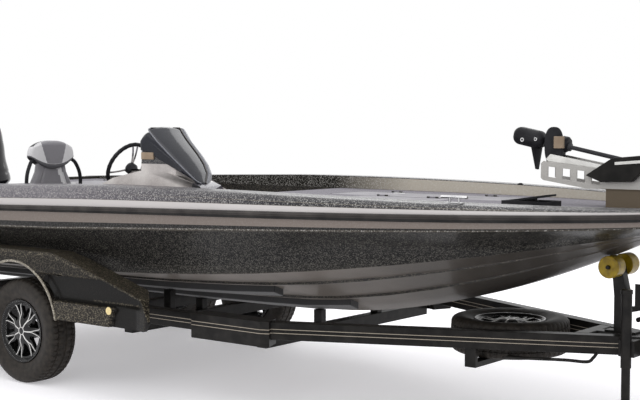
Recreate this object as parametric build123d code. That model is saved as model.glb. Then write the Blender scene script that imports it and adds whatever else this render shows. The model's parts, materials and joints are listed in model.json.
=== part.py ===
# Decked fibreglass bass boat with outboard and bow trolling motor, on its tandem-axle trailer.
# Millimetres. +X to the bow, +Y to port, +Z up. The origin is on the floor, under the middle of the whole.
import math
import os

from build123d import *

# Seats and running gaps
seat_gap = 0.3          # between pieces that rest on each other
move_gap = 6.0          # between a lid or wheel and what it passes
pin_gap = 0.3           # round a pin in its eye

# Hull form
stern_x = -3150.0       # after end of the sponsons
bow_x = 2860.0          # tip of the stem
half_beam = 1205.0      # at the sheer, 95 in over the rub rail
keel_z = 520.0          # keel above the floor on the bunks
keel_rise_x = 450.0     # where the keel starts to sweep up
keel_rise = 702.0       # how far it sweeps up to the stem
half_chine = 1030.0
chine_z = 740.0         # chine at the stern
chine_lift = 122.0      # how much of its rise is even along the hull
chine_sweep = 300.0     # and how much is swept up forward
sheer_z = 1220.5        # centre of the rub rail at the stem
sheer_fall = 125.0      # and how much lower it is at the stern
crease_drop = 50.0      # from the sheer down to the joint of hull and deck cap, at the stem
crease_more = 75.0      # and how much more aft
gunwale_h = 150.0       # from the sheer up to the gunwale, amidships
gunwale_fall = 120.0    # how much less it is at the bow
gunwale_w = 215.0       # from the sheer to the inner edge of the gunwale
deck_z = 1228.0         # casting decks
floor_z = 860.0         # cockpit sole
strake_h = 12.0

# Where the hull is cut into sections, closer together where it curves more
station_x = (-3150, -1800, -900, -350, 100, 450, 800, 1100, 1400, 1700, 1950, 2180, 2390, 2570, 2710, 2800, 2850)

# Cockpit and motor well
cockpit_x = (-2050.0, -300.0)
cockpit_half = 985.0
transom_x = -2970.0     # motor pad
notch_half = 450.0
splash_x = -2780.0
splash_half = 420.0
splash_z = 1120.0
pad_z = 640.0

# Hatches: name, x from, x to, y from, y to, well floor z, hinge side (+1 towards +Y, -1 towards -Y)
lid_t = 30.0
ledge = 20.0
hatches = (
    ("rod_lid_port", 120, 1450, 320, 690, 985, 1),
    ("rod_lid_starboard", 420, 1450, -690, -320, 985, -1),
    ("front_lid", 420, 1120, -290, 290, 800, 1),
    ("rear_lid_port", -2700, -2120, 130, 720, 900, 1),
    ("rear_lid_starboard", -2700, -2120, -720, -130, 900, -1),
)

hinge_r = 5.0           # barrels of the lids' hinges
hinge_half = 20.0       # half the length of a barrel on the lid
hinge_z = deck_z + hinge_r + 1
pedestal_x = (1640.0, -2400.0)  # sockets for the posts of fishing seats
pedestal_r = 30.5
pedestal_depth = 80.0

# Trailer frame
rail_w = 76.0
rail_h = 102.0
rail_top = 557.0
rail_y = 930.0          # side rail centre
rail_rear_x = -2950.0
bend_x = 600.0          # where side rail and tongue rail meet
apex_x = 2668.0         # where the tongue rails' centre lines cross
beam_x = (2190.0, 3640.0)
ball_socket_r = 25.8    # for a ball of 50.8
tongue_run = math.atan2(rail_y, apex_x - bend_x)    # angle of a tongue rail in plan
sleeve_x = 85.0         # where the sleeve over the bend starts
sleeve_past = 55.0      # how far it goes past the bend
sleeve_grow = 35.0      # how proud it stands at the sides
sleeve_low = 40.0       # and below
cross_w = 76.0
cross_x = (-2850.0, -1530.0, -500.0, 520.0)

# Wheels
axle_x = (-1250.0, -2106.0)
axle_z = 345.0
wheel_y = 1137.0        # centre of the tyre
tyre_r = 345.0
tyre_w = 210.0
rim_r = 206.0
bead_r = 190.0
rim_w = 178.0
spoke_count = 7
spindle_r = 30.0
arm_len = 150.0         # trailing arm, from the axle tube back to the spindle

# Fender
fender_y = (1115.0, 1285.0)
fender_t = 30.0
fender_top = 890.0
arch_r = 420.0
arch_lift = 45.0        # the arches' centres above the wheels'

# Spare wheel
spare_x = 1700.0
spare_z = 480.0
carrier_h = 30.0

# Bow support, winch and jack
post_x = 2400.0
roller_gap = 2.0        # below the keel
roller_r = 61.0
winch_x = 2560.0
winch_z = 790.0
crank_r = 130.0
crank_y = -160.0        # outer end of the crank's grip
eye_x = 2555.0          # bow eye
jack_x = 2515.0
jack_y = -205.0
jack_r = 28.5
jack_leg_r = 23.7
jack_top = 800.0
jack_travel = 180.0     # how far the wheel winds up
jack_wheel_r = 100.0
jack_wheel_w = 50.0
jack_trail = 35.0
fork_top = 208.0        # underside of the caster fork's plate

# Outboard
swivel_x = -3230.0      # steering axis
tilt_x = -3085.0
tilt_z = 1118.0
cowl_z = (1180.0, 1800.0)
prop_z = 400.0
prop_r = 190.0
blade_count = 3

# Small fittings
pedal_x = (1700.0, 1990.0)
pedal_y = (-115.0, 60.0)
marker_x = -327.0
marker_z = 571.0
cleat_x = (-2350.0, 1850.0)

# Trolling motor, in the stowed place
troll_y = 240.0
riser_z = 1331.0
riser_x = (2215.0, 2520.0)
troll_base_x = (1810.0, 2600.0)
arm_pivot = (2560.0, 1372.0)    # x, z
arm_end = (1858.0, 1496.0)
troll_tilt = 11.6               # degrees that the stowed shaft rises towards the head
shaft_rise = 85.0               # from the bracket's pin to the shaft's axis
troll_reach = 1081.0            # from the bracket's pin down the shaft to the pod
head_start = 88.0               # and up the shaft to the head
head_len = 205.0
troll_shaft_r = 12.5
pod_r = 52.0


def block(x, y, z):
    """A box from three pairs of limits."""
    size = [abs(b - a) for a, b in (x, y, z)]
    return Pos(*[(a + b) / 2 for a, b in (x, y, z)]) * Box(*size)


def face_of(points):
    return make_face(Polyline(*points, close=True))


def side_plate(points, y):
    """An outline of (x, z) points, as thick as the pair of y limits."""
    face = face_of([(px, y[0], pz) for px, pz in points])
    return extrude(face, amount=y[1] - y[0], dir=(0, 1, 0))


def plan_plate(points, z):
    """An outline of (x, y) points, as high as the pair of z limits."""
    face = face_of([(px, py, z[0]) for px, py in points])
    return extrude(face, amount=z[1] - z[0], dir=(0, 0, 1))


def cross_plate(points, x):
    """An outline of (y, z) points, as long as the pair of x limits."""
    face = face_of([(x[0], py, pz) for py, pz in points])
    return extrude(face, amount=x[1] - x[0], dir=(1, 0, 0))


def rod(start, end, radius):
    """A round bar between two points."""
    start, end = Vector(*start), Vector(*end)
    return extrude(Plane(start, z_dir=end - start) * Circle(radius), amount=(end - start).length)


def tube(start, end, radius, bore):
    return rod(start, end, radius) - rod(start, end, bore)


def turned(points):
    """A body turned about the Y axis from (radius, y) points."""
    return revolve(face_of([(r, y, 0) for r, y in points]), Axis.Y)


def mirrored(shape):
    return mirror(shape, Plane.XZ)


# Hull lines, each a plain formula in x
def share(x, start, end):
    return min(max((x - start) / (end - start), 0.0), 1.0)


def sheer_y(x):
    return half_beam * (1 - share(x, -350, bow_x) ** 3.2) ** 0.588


def sheer_height(x):
    return sheer_z - sheer_fall * (1 - share(x, stern_x, bow_x)) ** 1.6


def crease_height(x):
    return sheer_height(x) - crease_drop - crease_more * (1 - share(x, -1000, bow_x))


def gunwale_height(x):
    return sheer_height(x) + gunwale_h - gunwale_fall * share(x, -700, bow_x) ** 1.3


def chine_half(x):
    return max(half_chine * (1 - share(x, -650, bow_x) ** 2.6) ** 0.87, 12.0)


def chine_height(x):
    return chine_z + chine_lift * share(x, stern_x, bow_x) + chine_sweep * share(x, -700, bow_x) ** 1.75


def keel_height(x):
    return min(keel_z + keel_rise * share(x, keel_rise_x, bow_x) ** 1.755, chine_height(x) - 8)


def on_facet(line, x):
    """A hull line's value at x on the straight run between two stations."""
    before = max(s for s in station_x if s <= x)
    after = min(s for s in station_x if s > x)
    part = (x - before) / (after - before)
    return line(before) + part * (line(after) - line(before))


def hull_half(x):
    """Half a section from the keel to the crease, as (y, z) points: pad, two strakes, chine flat, side."""
    chine, rise = chine_half(x), chine_height(x) - keel_height(x)

    def bottom(part):
        return keel_height(x) + rise * max(part - 0.1, 0) / 0.9

    strake = min(strake_h, rise * 0.05)
    points = [(0, keel_height(x)), (0.1 * chine, keel_height(x))]
    for inner, outer in ((0.38, 0.43), (0.68, 0.73)):
        points += [(inner * chine, bottom(inner)), (outer * chine, bottom(inner) - strake * 0.2),
                   ((outer + 0.006) * chine, bottom(outer + 0.006))]
    points += [(0.94 * chine, bottom(0.94)), (chine, bottom(0.94) - strake * 0.4)]
    side_y, side_z = sheer_y(x) - 3, crease_height(x)
    points.append((chine + 0.38 * (side_y - chine), bottom(0.94) + 0.5 * (side_z - bottom(0.94))))
    points.append((side_y, side_z))
    return points


def cap_half(x):
    """Half a section of the deck cap, from the crease up to the gunwale."""
    y, z, h = sheer_y(x), sheer_height(x), gunwale_height(x) - sheer_height(x)
    inset = min(1.0, y / 400)
    return [(y - 10 * inset, crease_height(x)), (y - 5 * inset, z - 18), (y - 5 * inset, z + 20),
            (y - 16 * inset, z + 0.4 * h), (y - 60 * inset, z + 0.92 * h), (y - 92 * inset, z + h)]


def section(x, half, top=None):
    """A closed section at x, from half of it and its mirror image."""
    other = [(-y, z) for y, z in reversed(half) if y > 0]
    return face_of([(x, y, z) for y, z in half + other])


def hull_form():
    return loft([section(x, hull_half(x)) for x in station_x], ruled=True)


def cap_form():
    return loft([section(x, cap_half(x)) for x in station_x], ruled=True)


def recess_form():
    """The sunk space between the gunwales, over the decks and the cockpit."""
    sections = []
    for x in (-2990,) + station_x[1:13] + (2660,):
        y = sheer_y(x) - gunwale_w
        sections.append(section(x, [(y, deck_z), (y, deck_z + 400)]))
    return loft(sections, ruled=True)


def well_cuts():
    """What is cut out for the hatches: the lid's seat and the well below it."""
    cuts = []
    for _, x0, x1, y0, y1, well_z, _ in hatches:
        gap = move_gap
        cuts.append(block((x0 - gap, x1 + gap), (y0 - gap, y1 + gap), (deck_z - lid_t - seat_gap, deck_z + 5)))
        cuts.append(block((x0 + ledge, x1 - ledge), (y0 + ledge, y1 - ledge), (well_z, deck_z)))
    return cuts


def cockpit_cut():
    x0, x1 = cockpit_x
    return block((x0, x1), (-cockpit_half, cockpit_half), (floor_z, deck_z + 400))


def stern_cuts():
    return [
        block((stern_x - 10, transom_x), (-notch_half, notch_half), (pad_z, deck_z + 400)),
        block((transom_x - 10, splash_x), (-splash_half, splash_half), (splash_z, deck_z + 400)),
    ]


def pedestal_cuts():
    return [rod((x, 0, deck_z - pedestal_depth), (x, 0, deck_z + 5), pedestal_r) for x in pedestal_x]


def hinge_places():
    """For each hinge of each lid: the lid's name, the x of its middle, the y of its pin and its side."""
    places = []
    for name, x0, x1, y0, y1, _, side in hatches:
        pin_y = (y1 if side > 0 else y0) + side * move_gap / 2
        for part in (0.22, 0.78):
            places.append((name, x0 + part * (x1 - x0), pin_y, side))
    return places


def hinge_part(x0, x1, pin_y, reach):
    """A barrel with its leaf, from the pin out to one side."""
    leaf = block((x0, x1), (pin_y, pin_y + reach), (deck_z, deck_z + 2))
    return leaf + rod((x0, pin_y, hinge_z), (x1, pin_y, hinge_z), hinge_r)


def make_bow_eye():
    """The ring on the stem that the winch strap hooks on to."""
    x = eye_x
    z = keel_height(x) - 24
    ring = Pos(x, 0, z) * Rot(90, 0, 0) * Cylinder(28, 12) - Pos(x, 0, z) * Rot(90, 0, 0) * Cylinder(16, 20)
    return ring + rod((x - 18, 0, z + 14), (x - 18, 0, keel_height(x) + 20), 8)


def make_hull():
    shape = hull_form()
    for cut in [cockpit_cut()] + well_cuts() + stern_cuts():
        shape = shape - cut
    return shape + make_bow_eye()


def make_deck_cap():
    shape = cap_form() - recess_form()
    for cut in [cockpit_cut()] + well_cuts() + stern_cuts() + pedestal_cuts():
        shape = shape - cut
    for _, x, pin_y, side in hinge_places():
        for near in (-1, 1):
            ends = sorted((x + near * (hinge_half + 2), x + near * (hinge_half + 22)))
            shape = shape + hinge_part(ends[0], ends[1], pin_y, side * 26)
    return shape


def make_rub_rail():
    """A band round the sheer, as thick everywhere as it is at the side."""
    proud, high = 14.0, 20.0
    outer, inner = [], []
    for x in station_x:
        step = 4.0
        slope = (sheer_y(min(x + step, bow_x - 2)) - sheer_y(x - step)) / (min(x + step, bow_x - 2) - x + step)
        long = math.hypot(1, slope)
        out_x = x - proud * slope / long if x > -350 else x
        out_y = sheer_y(x) + proud / long
        in_y = sheer_y(x) - 5 * min(1.0, sheer_y(x) / 400) + seat_gap
        z = sheer_height(x)
        outer.append(section(out_x, [(out_y, sheer_height(out_x) - high), (out_y, sheer_height(out_x) + high)]))
        inner.append(section(x, [(in_y, z - high - 30), (in_y, z + high + 30)]))
    tip = station_x[-1]
    inner.append(section(tip + seat_gap, [(sheer_y(tip), sheer_height(tip) - 60), (sheer_y(tip), sheer_height(tip) + 60)]))
    return loft(outer, ruled=True) - loft(inner, ruled=True)


def make_lids():
    lids = {}
    for name, x0, x1, y0, y1, _, _ in hatches:
        lid = block((x0, x1), (y0, y1), (deck_z - lid_t, deck_z))
        lids[name] = fillet(lid.edges().filter_by(Axis.Z), 25)
    for name, x, pin_y, side in hinge_places():
        lids[name] = lids[name] + hinge_part(x - hinge_half, x + hinge_half, pin_y, -side * 30)
    return lids


# Cockpit
console_y = (-cockpit_half + 25.0, -300.0)
console_front = (329.0, -240.0)     # x where it ends on the deck, at its outer and its inner side
seat_y = (300.0, 800.0)         # inner and outer side of a seat
seat_back_x = -1700.0
seat_base_x = (-2040.0, -1230.0)
seat_base_top = 1010.0
cushion_t = 120.0
back_top = 1580.0
back_t = 100.0
fold_pivot = (-1722.0, 1160.0)  # x, z of the pins on which a back folds
fold_half = 180.0               # half the back's width there
fold_pin_r = 8.0
screen_foot = (40.0, 1374.0)    # x, z of the windscreen's outer face at its lower and its upper edge
screen_head = (-400.0, 1678.0)
screen_half = 215.0
screen_y = -715.0               # its centre line
screen_t = 6.0
screen_rise = (screen_head[1] - screen_foot[1]) / (screen_head[0] - screen_foot[0])
screen_drop = screen_t * math.hypot(1, screen_rise)
helm_centre = (-880.0, -610.0, 1420.0)
helm_r = 178.0
helm_lean = 28.0                # degrees from upright


def make_console():
    """A faceted pod that stands on the sole and runs forward over the front deck, with the hood of the dash."""
    y0, y1 = console_y
    edge_x = cockpit_x[1] - seat_gap
    deck = deck_z + seat_gap
    outer_x, inner_x = console_front
    profile = [(-730, floor_z + seat_gap), (-730, 1150), (-830, 1287), (-667, 1356), (-390, 1444), (184, 1324),
               (outer_x, 1285), (outer_x + 40, deck), (edge_x, deck), (edge_x, floor_z + seat_gap)]
    body = side_plate(profile, (y0, y1))
    body = body - plan_plate([(outer_x + 42, y0), (inner_x, y1), (outer_x + 42, y1)], (deck - 1, 1500))
    for side, edge in ((1, y1), (-1, y0)):      # both flanks lean in above the gunwale
        body = body - cross_plate([(edge, 1260), (edge + side * 200, 1260), (edge + side * 200, 1500),
                                   (edge - side * 60, 1500)], (-900, 400))
    (foot_x, foot_z), hood_half = screen_foot, screen_half - screen_t - seat_gap
    under = foot_z - screen_drop - seat_gap
    hood = side_plate([(-520, 1410), (-452, 1556), (-398, 1588), (-200, 1484), (foot_x - 40, under + 22), (foot_x, under),
                       (foot_x, under - 16), (foot_x - 30, 1330), (-390, 1400)],
                      (screen_y - hood_half, screen_y + hood_half))
    taper = plan_plate(screen_outline(screen_t + seat_gap), (1300, 1700))
    lean = math.radians(helm_lean)
    nx, nz = math.cos(lean), -math.sin(lean)
    hx, hy, hz = helm_centre
    start = 15 + seat_gap
    column = rod((hx + nx * start, hy, hz + nz * start), (hx + nx * 190, hy, hz + nz * 190), 30)
    return body + (hood & taper) + column


def screen_outline(inset):
    """The windscreen in plan, drawn in by inset at its sides: straight flanks that close in to the nose."""
    half, (foot_x, _), back_x = screen_half - inset, screen_foot, screen_head[0] - 160
    near = [(back_x, half), (-110, half), (-20, half - 62), (foot_x + 1, half - 150)]
    return [(x, screen_y - y) for x, y in near] + [(x, screen_y + y) for x, y in reversed(near)]


def make_windscreen():
    """One raked pane, narrower at the top and the nose, with a low pane down each side."""
    (x_low, z_low), (x_top, z_top), drop = screen_foot, screen_head, screen_drop
    slab = side_plate([(x_low, z_low), (x_top, z_top), (x_top, z_top - drop), (x_low, z_low - drop)],
                      (screen_y - screen_half, screen_y + screen_half))
    pane = slab & plan_plate(screen_outline(0), (1300, 1800))
    for side in (1, -1):
        corner = [(x_top - 1, screen_y + side * (screen_half - 66)), (x_top + 75, screen_y + side * (screen_half + 1)),
                  (x_top - 1, screen_y + side * (screen_half + 1))]
        pane = pane - plan_plate(corner, (1300, 1800))

    def height(x):
        return z_low + (x - x_low) * screen_rise - drop / 2

    cheek = [(-325, height(-325)), (-380, 1553), (-156, 1450), (-110, 1430), (-110, height(-110))]
    for side in (1, -1):
        edge = screen_y + side * screen_half
        pane = pane + side_plate(cheek, tuple(sorted((edge, edge - side * screen_t))))
    return pane


def make_seat_base():
    """The box under both seats, with the uprights and pins on which the backs fold."""
    body = block(seat_base_x, (-seat_y[1] - 30, seat_y[1] + 30), (floor_z + seat_gap, seat_base_top))
    (px, pz), mid = fold_pivot, sum(seat_y) / 2
    for y in (mid, -mid):
        for side in (1, -1):
            outer, inner = y + side * (fold_half + 14), y + side * (fold_half + 7)
            ear = side_plate([(px - 36, seat_base_top - 5), (px + 30, seat_base_top - 5), (px + 14, pz + 16),
                              (px - 14, pz + 16)], tuple(sorted((outer, inner))))
            body = body + ear + rod((px, outer, pz), (px, y + side * (fold_half - 24), pz), fold_pin_r)
    return body


def make_cushion(side):
    y0, y1 = seat_y
    pad = block((seat_back_x + 20, seat_base_x[1]), (y0, y1), (seat_base_top + seat_gap, seat_base_top + cushion_t))
    pad = fillet(pad.edges(), 25)
    return pad if side > 0 else mirrored(pad)


def make_back(side):
    """A bucket back: wide hood over a narrower middle, leaning back a little."""
    y0, y1 = seat_y
    mid = (y0 + y1) / 2
    z0 = seat_base_top + cushion_t + move_gap
    half = [(fold_half, z0), (fold_half, z0 + 60), (fold_half + 12, z0 + 115), (fold_half - 24, z0 + 190),
            (150, z0 + 262), (196, 1440), (200, 1512), (176, 1562), (120, back_top)]
    outline = [(mid + y, z) for y, z in half] + [(mid - y, z) for y, z in reversed(half)]
    pad = cross_plate(outline, (seat_back_x - back_t, seat_back_x))
    px, pz = fold_pivot
    for edge, inside in ((mid - fold_half, mid - fold_half + 25), (mid + fold_half, mid + fold_half - 25)):
        pad = pad - rod((px, edge * 2 - inside, pz), (px, inside, pz), fold_pin_r + pin_gap)
    return pad if side > 0 else mirrored(pad)


def make_helm():
    grip = [(helm_r + 14 * math.cos(a) - 14, 0, 14 * math.sin(a)) for a in (i * math.pi / 4 for i in range(8))]
    ring = revolve(face_of(grip), Axis.Z)
    wheel = ring + Cylinder(38, 30)
    for angle in (90, 210, 330):
        wheel = wheel + Rot(0, 0, angle) * Pos((helm_r - 14) / 2, 0, 0) * Box(helm_r - 20, 34, 8)
    x, y, z = helm_centre
    return Pos(x, y, z) * Rot(0, -(90 - helm_lean), 0) * wheel


# Trailer
def tongue_points(offset):
    """The tongue rail's centre line, moved sideways: its point at the bend and at the beam, on the port side."""
    nx, ny = math.sin(tongue_run), math.cos(tongue_run)
    bend = (bend_x + nx * offset, rail_y + ny * offset)
    slope = math.tan(tongue_run)
    stop_y = rail_w / 2 + seat_gap
    stop_x = bend[0] + (bend[1] - stop_y) / slope
    return bend, (stop_x, stop_y)


def tongue_outside(x):
    """How far out the tongue rail's outer face is at x."""
    return (apex_x - x) * math.tan(tongue_run) + rail_w / 2 / math.cos(tongue_run)


def make_frame_side(side):
    z = (rail_top - rail_h, rail_top)
    half = rail_w / 2
    rail = block((rail_rear_x, bend_x), (rail_y - half, rail_y + half), z)
    (ax, ay), (bx, by) = tongue_points(half)
    (cx, cy), (dx, dy) = tongue_points(-half)
    tongue = plan_plate([(ax, ay), (bx, by), (dx, dy), (cx, cy)], z)
    (ex, ey), _ = tongue_points(half + sleeve_grow)
    (gx, gy), _ = tongue_points(-half - sleeve_grow)
    run = (sleeve_past * math.cos(tongue_run), -sleeve_past * math.sin(tongue_run))
    shoulder = plan_plate([
        (sleeve_x, rail_y - half - sleeve_grow), (sleeve_x, rail_y + half + sleeve_grow), (ex, ey),
        (ex + run[0], ey + run[1]), (gx + run[0], gy + run[1]), (gx, gy)], (z[0] - sleeve_low, z[1] + 8))
    shape = rail + tongue + shoulder
    return shape if side > 0 else mirrored(shape)


def make_crossmembers():
    z = (rail_top - rail_h - cross_w - seat_gap, rail_top - rail_h - seat_gap)
    bars = []
    for x in cross_x:
        inside = rail_y - rail_w / 2 - sleeve_grow - seat_gap
        reach = inside if x > sleeve_x - cross_w else rail_y + rail_w / 2
        bars.append(block((x - cross_w / 2, x + cross_w / 2), (-reach, reach), z))
    return Compound(children=bars)


def make_tongue_beam():
    """The single beam to the coupler, with the cross tube that carries its after end."""
    z = (rail_top - rail_h, rail_top)
    beam = block(beam_x, (-rail_w / 2, rail_w / 2), z)
    x0, x1 = beam_x[0], beam_x[0] + cross_w
    near = [tongue_outside(x) - rail_w / math.cos(tongue_run) - seat_gap for x in (x0, x1)]
    cross = plan_plate([(x0, -near[0]), (x0, near[0]), (x1, near[1]), (x1, -near[1])], z)
    return beam + cross


def make_coupler():
    """The coupler's nose, with the socket for a 2 in ball."""
    z = rail_top - rail_h / 2
    end = beam_x[1]
    x = end + 62
    body = block((end + seat_gap, x), (-40, 40), (z - 45, z + 45))
    head = rod((x, 0, z - 45), (x, 0, z + 45), 47)
    return body + head - rod((x, 0, z - 50), (x, 0, z), ball_socket_r) - Pos(x, 0, z) * Sphere(ball_socket_r)


def make_axles():
    bars = []
    for x in axle_x:
        tube_x = x + arm_len
        z1 = rail_top - rail_h - seat_gap
        bar = block((tube_x - 38, tube_x + 38), (-rail_y - 34, rail_y + 34), (z1 - 76, z1))
        for side in (1, -1):
            y0 = side * (rail_y + 34)
            y1 = side * (rail_y + 62)
            arm = side_plate([(tube_x + 40, z1 - 60), (tube_x + 40, z1 - 12), (tube_x - 40, z1 - 6),
                              (x - 35, axle_z + 32), (x - 35, axle_z - 32), (x + 30, axle_z - 36)], (y0, y1))
            bar = bar + arm + rod((x, y0, axle_z), (x, side * (wheel_y + 20), axle_z), spindle_r)
        bars.append(bar)
    return Compound(children=bars)


def make_rim():
    """A dished rim about the Y axis, outer face towards +Y, with split spokes."""
    w = rim_w / 2
    barrel = turned([(rim_r, -w), (rim_r, -w + 8), (bead_r - seat_gap, -w + 12), (bead_r - seat_gap, w - 12),
                     (rim_r, w - 8), (rim_r, w), (rim_r - 10, w), (bead_r - 10, w - 14), (bead_r - 10, -w + 10),
                     (rim_r - 8, -w)])
    disc = turned([(0, w - 36), (0, w - 4), (62, w - 4), (110, w - 22), (bead_r - 9, w - 14), (bead_r - 9, w - 40),
                   (95, w - 50), (62, w - 50), (62, -20), (spindle_r + pin_gap, -20), (spindle_r + pin_gap, w - 60),
                   (0, w - 60)])
    windows = []
    for i in range(spoke_count):
        turn = 360 / spoke_count * i
        wide = side_plate([(84, -9), (164, -47), (170, 0), (164, 47), (84, 9)], (0, rim_w))
        slim = side_plate([(112, -3), (172, -13), (172, 13), (112, 3)], (0, rim_w))
        windows += [Rot(0, turn, 0) * wide, Rot(0, turn + 180 / spoke_count, 0) * slim]
    for window in windows:
        disc = disc - window
    return barrel + disc


def make_tyre():
    w = tyre_w / 2
    b = rim_w / 2 - 12.5
    lip = rim_r + seat_gap
    return turned([(bead_r, -b), (lip, -b - 3.5), (lip, -b - 14), (tyre_r - 72, -w), (tyre_r - 25, -w + 8),
                   (tyre_r, -w + 34), (tyre_r, w - 34), (tyre_r - 25, w - 8), (tyre_r - 72, w), (lip, b + 14),
                   (lip, b + 3.5), (bead_r, b)])


def make_fender(side):
    mid = sum(axle_x) / 2
    y0, y1 = fender_y
    top, low = fender_top, 470.0
    profile = [(10, 537), (-56, 661), (-700, 852), (-870, top), (-2390, top), (-2700, 850), (-2960, 700),
               (-2985, low), (-30, low)]
    skin = side_plate(profile, (y0, y1))
    skin = skin - plan_plate([(12, y1), (12, y0 - 1), (12 - (y1 - y0) * 1.02, y0 - 1)], (low - 1, top))
    t = fender_t
    inner = [(-840, low - 1), (-840, 740), (-900, top - t), (-2380, top - t), (-2516, 740), (-2516, low - 1)]
    skin = skin - side_plate(inner, (y0 - 1, y1 - t))
    for x in axle_x:
        skin = skin - rod((x, y1 - t - 5, axle_z + arch_lift), (x, y1 + 5, axle_z + arch_lift), arch_r)
    skin = skin - block((axle_x[1], axle_x[0]), (y1 - t - 5, y1 + 5), (low - 5, axle_z + arch_r * 0.62))
    inside = rail_y + rail_w / 2 + seat_gap
    for x in (-400, -2820):
        skin = skin + block((x - 40, x + 40), (inside, y0 + 20), (480, 545))
    return skin if side > 0 else mirrored(skin)


def make_bunks():
    """Carpeted boards that follow the hull's bottom between its sections."""
    def under(x, y):
        before = max(s for s in station_x if s <= x)
        after = min(s for s in station_x if s > x)
        part = (x - before) / (after - before)
        points = [(ya + (yb - ya) * part, za + (zb - za) * part)
                  for (ya, za), (yb, zb) in zip(hull_half(before), hull_half(after))]
        for (ya, za), (yb, zb) in zip(points, points[1:]):
            if ya <= y <= yb and yb > ya:
                return za + (zb - za) * (y - ya) / (yb - ya)
        return points[-1][1]

    boards = []
    for y, end in ((300, 790), (600, 440)):
        sections = []
        for x in [-2900] + [s for s in station_x if -2900 < s < end] + [end]:
            low, high = under(x, y - 44) - seat_gap, under(x, y + 44) - seat_gap
            sections.append(face_of([(x, y - 44, low), (x, y + 44, high), (x, y + 44, high - 44), (x, y - 44, low - 44)]))
        board = loft(sections, ruled=True)
        boards += [board, mirrored(board)]
    posts = []
    for x in cross_x:
        for y in (300, 600):
            if x > 500 and y > 500:
                continue
            top = min(under(x - 30, y - 25), under(x + 30, y - 25)) - 44 - 2 * seat_gap
            base = rail_top - rail_h
            if top > base + 5:
                post = block((x - 30, x + 30), (y - 25, y + 25), (base, top))
                posts += [post, mirrored(post)]
    return Compound(children=boards), Compound(children=posts)


def roller_place():
    """The rollers' axle: under the keel, square to its slope, so that they just clear it."""
    x = post_x - 50.0
    slope = (keel_height(x + 20) - keel_height(x - 20)) / 40
    lean = math.atan(slope)
    reach = roller_r + roller_gap
    return x + reach * math.sin(lean), keel_height(x) - reach * math.cos(lean)


roller_x, roller_z = roller_place()


def make_winch_post():
    base = rail_top + seat_gap
    post = block((post_x - 38, post_x + 38), (-32, 32), (base, 770))
    foot = block((post_x - 90, post_x + 90), (-36, 36), (base, base + 10))
    arm = side_plate([(post_x - 38, 760), (post_x + 38, 760), (roller_x + 28, roller_z - 10),
                      (roller_x + 14, roller_z + 24), (roller_x - 14, roller_z + 24), (roller_x - 28, roller_z - 10)],
                     (-32, 32))
    axle = rod((roller_x, -150, roller_z), (roller_x, 150, roller_z), 10)
    reach = side_plate([(post_x, 700), (post_x + 38, 700), (winch_x + 20, winch_z - 60), (winch_x + 20, winch_z - 85),
                        (post_x, 660)], (-32, 32))
    cheeks = [block((winch_x - 70, winch_x + 70), (side * 45 - 3, side * 45 + 3), (winch_z - 85, winch_z + 45))
              for side in (1, -1)]
    floor = block((winch_x - 70, winch_x + 70), (-48, 48), (winch_z - 85, winch_z - 77))
    body = post + foot + arm + axle + reach + floor
    for cheek in cheeks:
        body = body + cheek
    return body - rod((winch_x, -60, winch_z), (winch_x, 60, winch_z), 10.3)


def make_bow_rollers():
    rollers = []
    for side in (1, -1):
        y0, y1 = side * 45, side * 135
        rollers.append(tube((roller_x, y0, roller_z), (roller_x, y1, roller_z), roller_r, 10 + pin_gap))
    return Compound(children=rollers)


def make_winch_drum():
    drum = rod((winch_x, -40, winch_z), (winch_x, 40, winch_z), 34)
    for side in (1, -1):
        drum = drum + rod((winch_x, side * 40, winch_z), (winch_x, side * 34, winch_z), 55)
    shaft = rod((winch_x, -95, winch_z), (winch_x, 55, winch_z), 10)
    crank = block((winch_x - 12, winch_x + 12), (-95, -89), (winch_z - crank_r - 12, winch_z + 12))
    grip = rod((winch_x, crank_y, winch_z - crank_r), (winch_x, -89, winch_z - crank_r), 13)
    return drum + shaft + crank + grip


def make_jack_tube():
    base = fork_top + 10 + jack_travel + move_gap
    shape = tube((jack_x, jack_y, base), (jack_x, jack_y, jack_top), jack_r, jack_leg_r + pin_gap)
    cap = rod((jack_x, jack_y, jack_top), (jack_x, jack_y, jack_top + 22), jack_r + 3)
    x0, x1 = jack_x - 45, jack_x + 45
    bracket = plan_plate([(x0, -tongue_outside(x0) - seat_gap), (x1, -tongue_outside(x1) - seat_gap), (x1, jack_y),
                          (x0, jack_y)], (462, 550))
    return shape + cap + (bracket - rod((jack_x, jack_y, 400), (jack_x, jack_y, 600), 26))


def make_jack_leg():
    """The inner tube that winds up into the jack."""
    low, high = fork_top + 10 + seat_gap, jack_top - jack_travel - 30
    leg = rod((jack_x, jack_y, low), (jack_x, jack_y, high), jack_leg_r)
    return leg - rod((jack_x, jack_y, low - 10), (jack_x, jack_y, low + 50), 12 + pin_gap)


def make_jack_fork():
    wheel_x = jack_x - jack_trail
    z = jack_wheel_r
    top = fork_top
    plate = block((jack_x - 55, jack_x + 35), (jack_y - 40, jack_y + 40), (top, top + 10))
    plate = plate + rod((jack_x, jack_y, top), (jack_x, jack_y, top + 50), 12)
    legs = []
    for side in (1, -1):
        y = jack_y + side * 36
        legs.append(side_plate([(wheel_x - 22, z - 18), (wheel_x + 22, z - 18), (jack_x + 30, top + 5),
                                (jack_x - 45, top + 5)], (y - 4, y + 4)))
    axle = rod((wheel_x, jack_y - 44, z), (wheel_x, jack_y + 44, z), 8)
    return plate + legs[0] + legs[1] + axle


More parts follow.
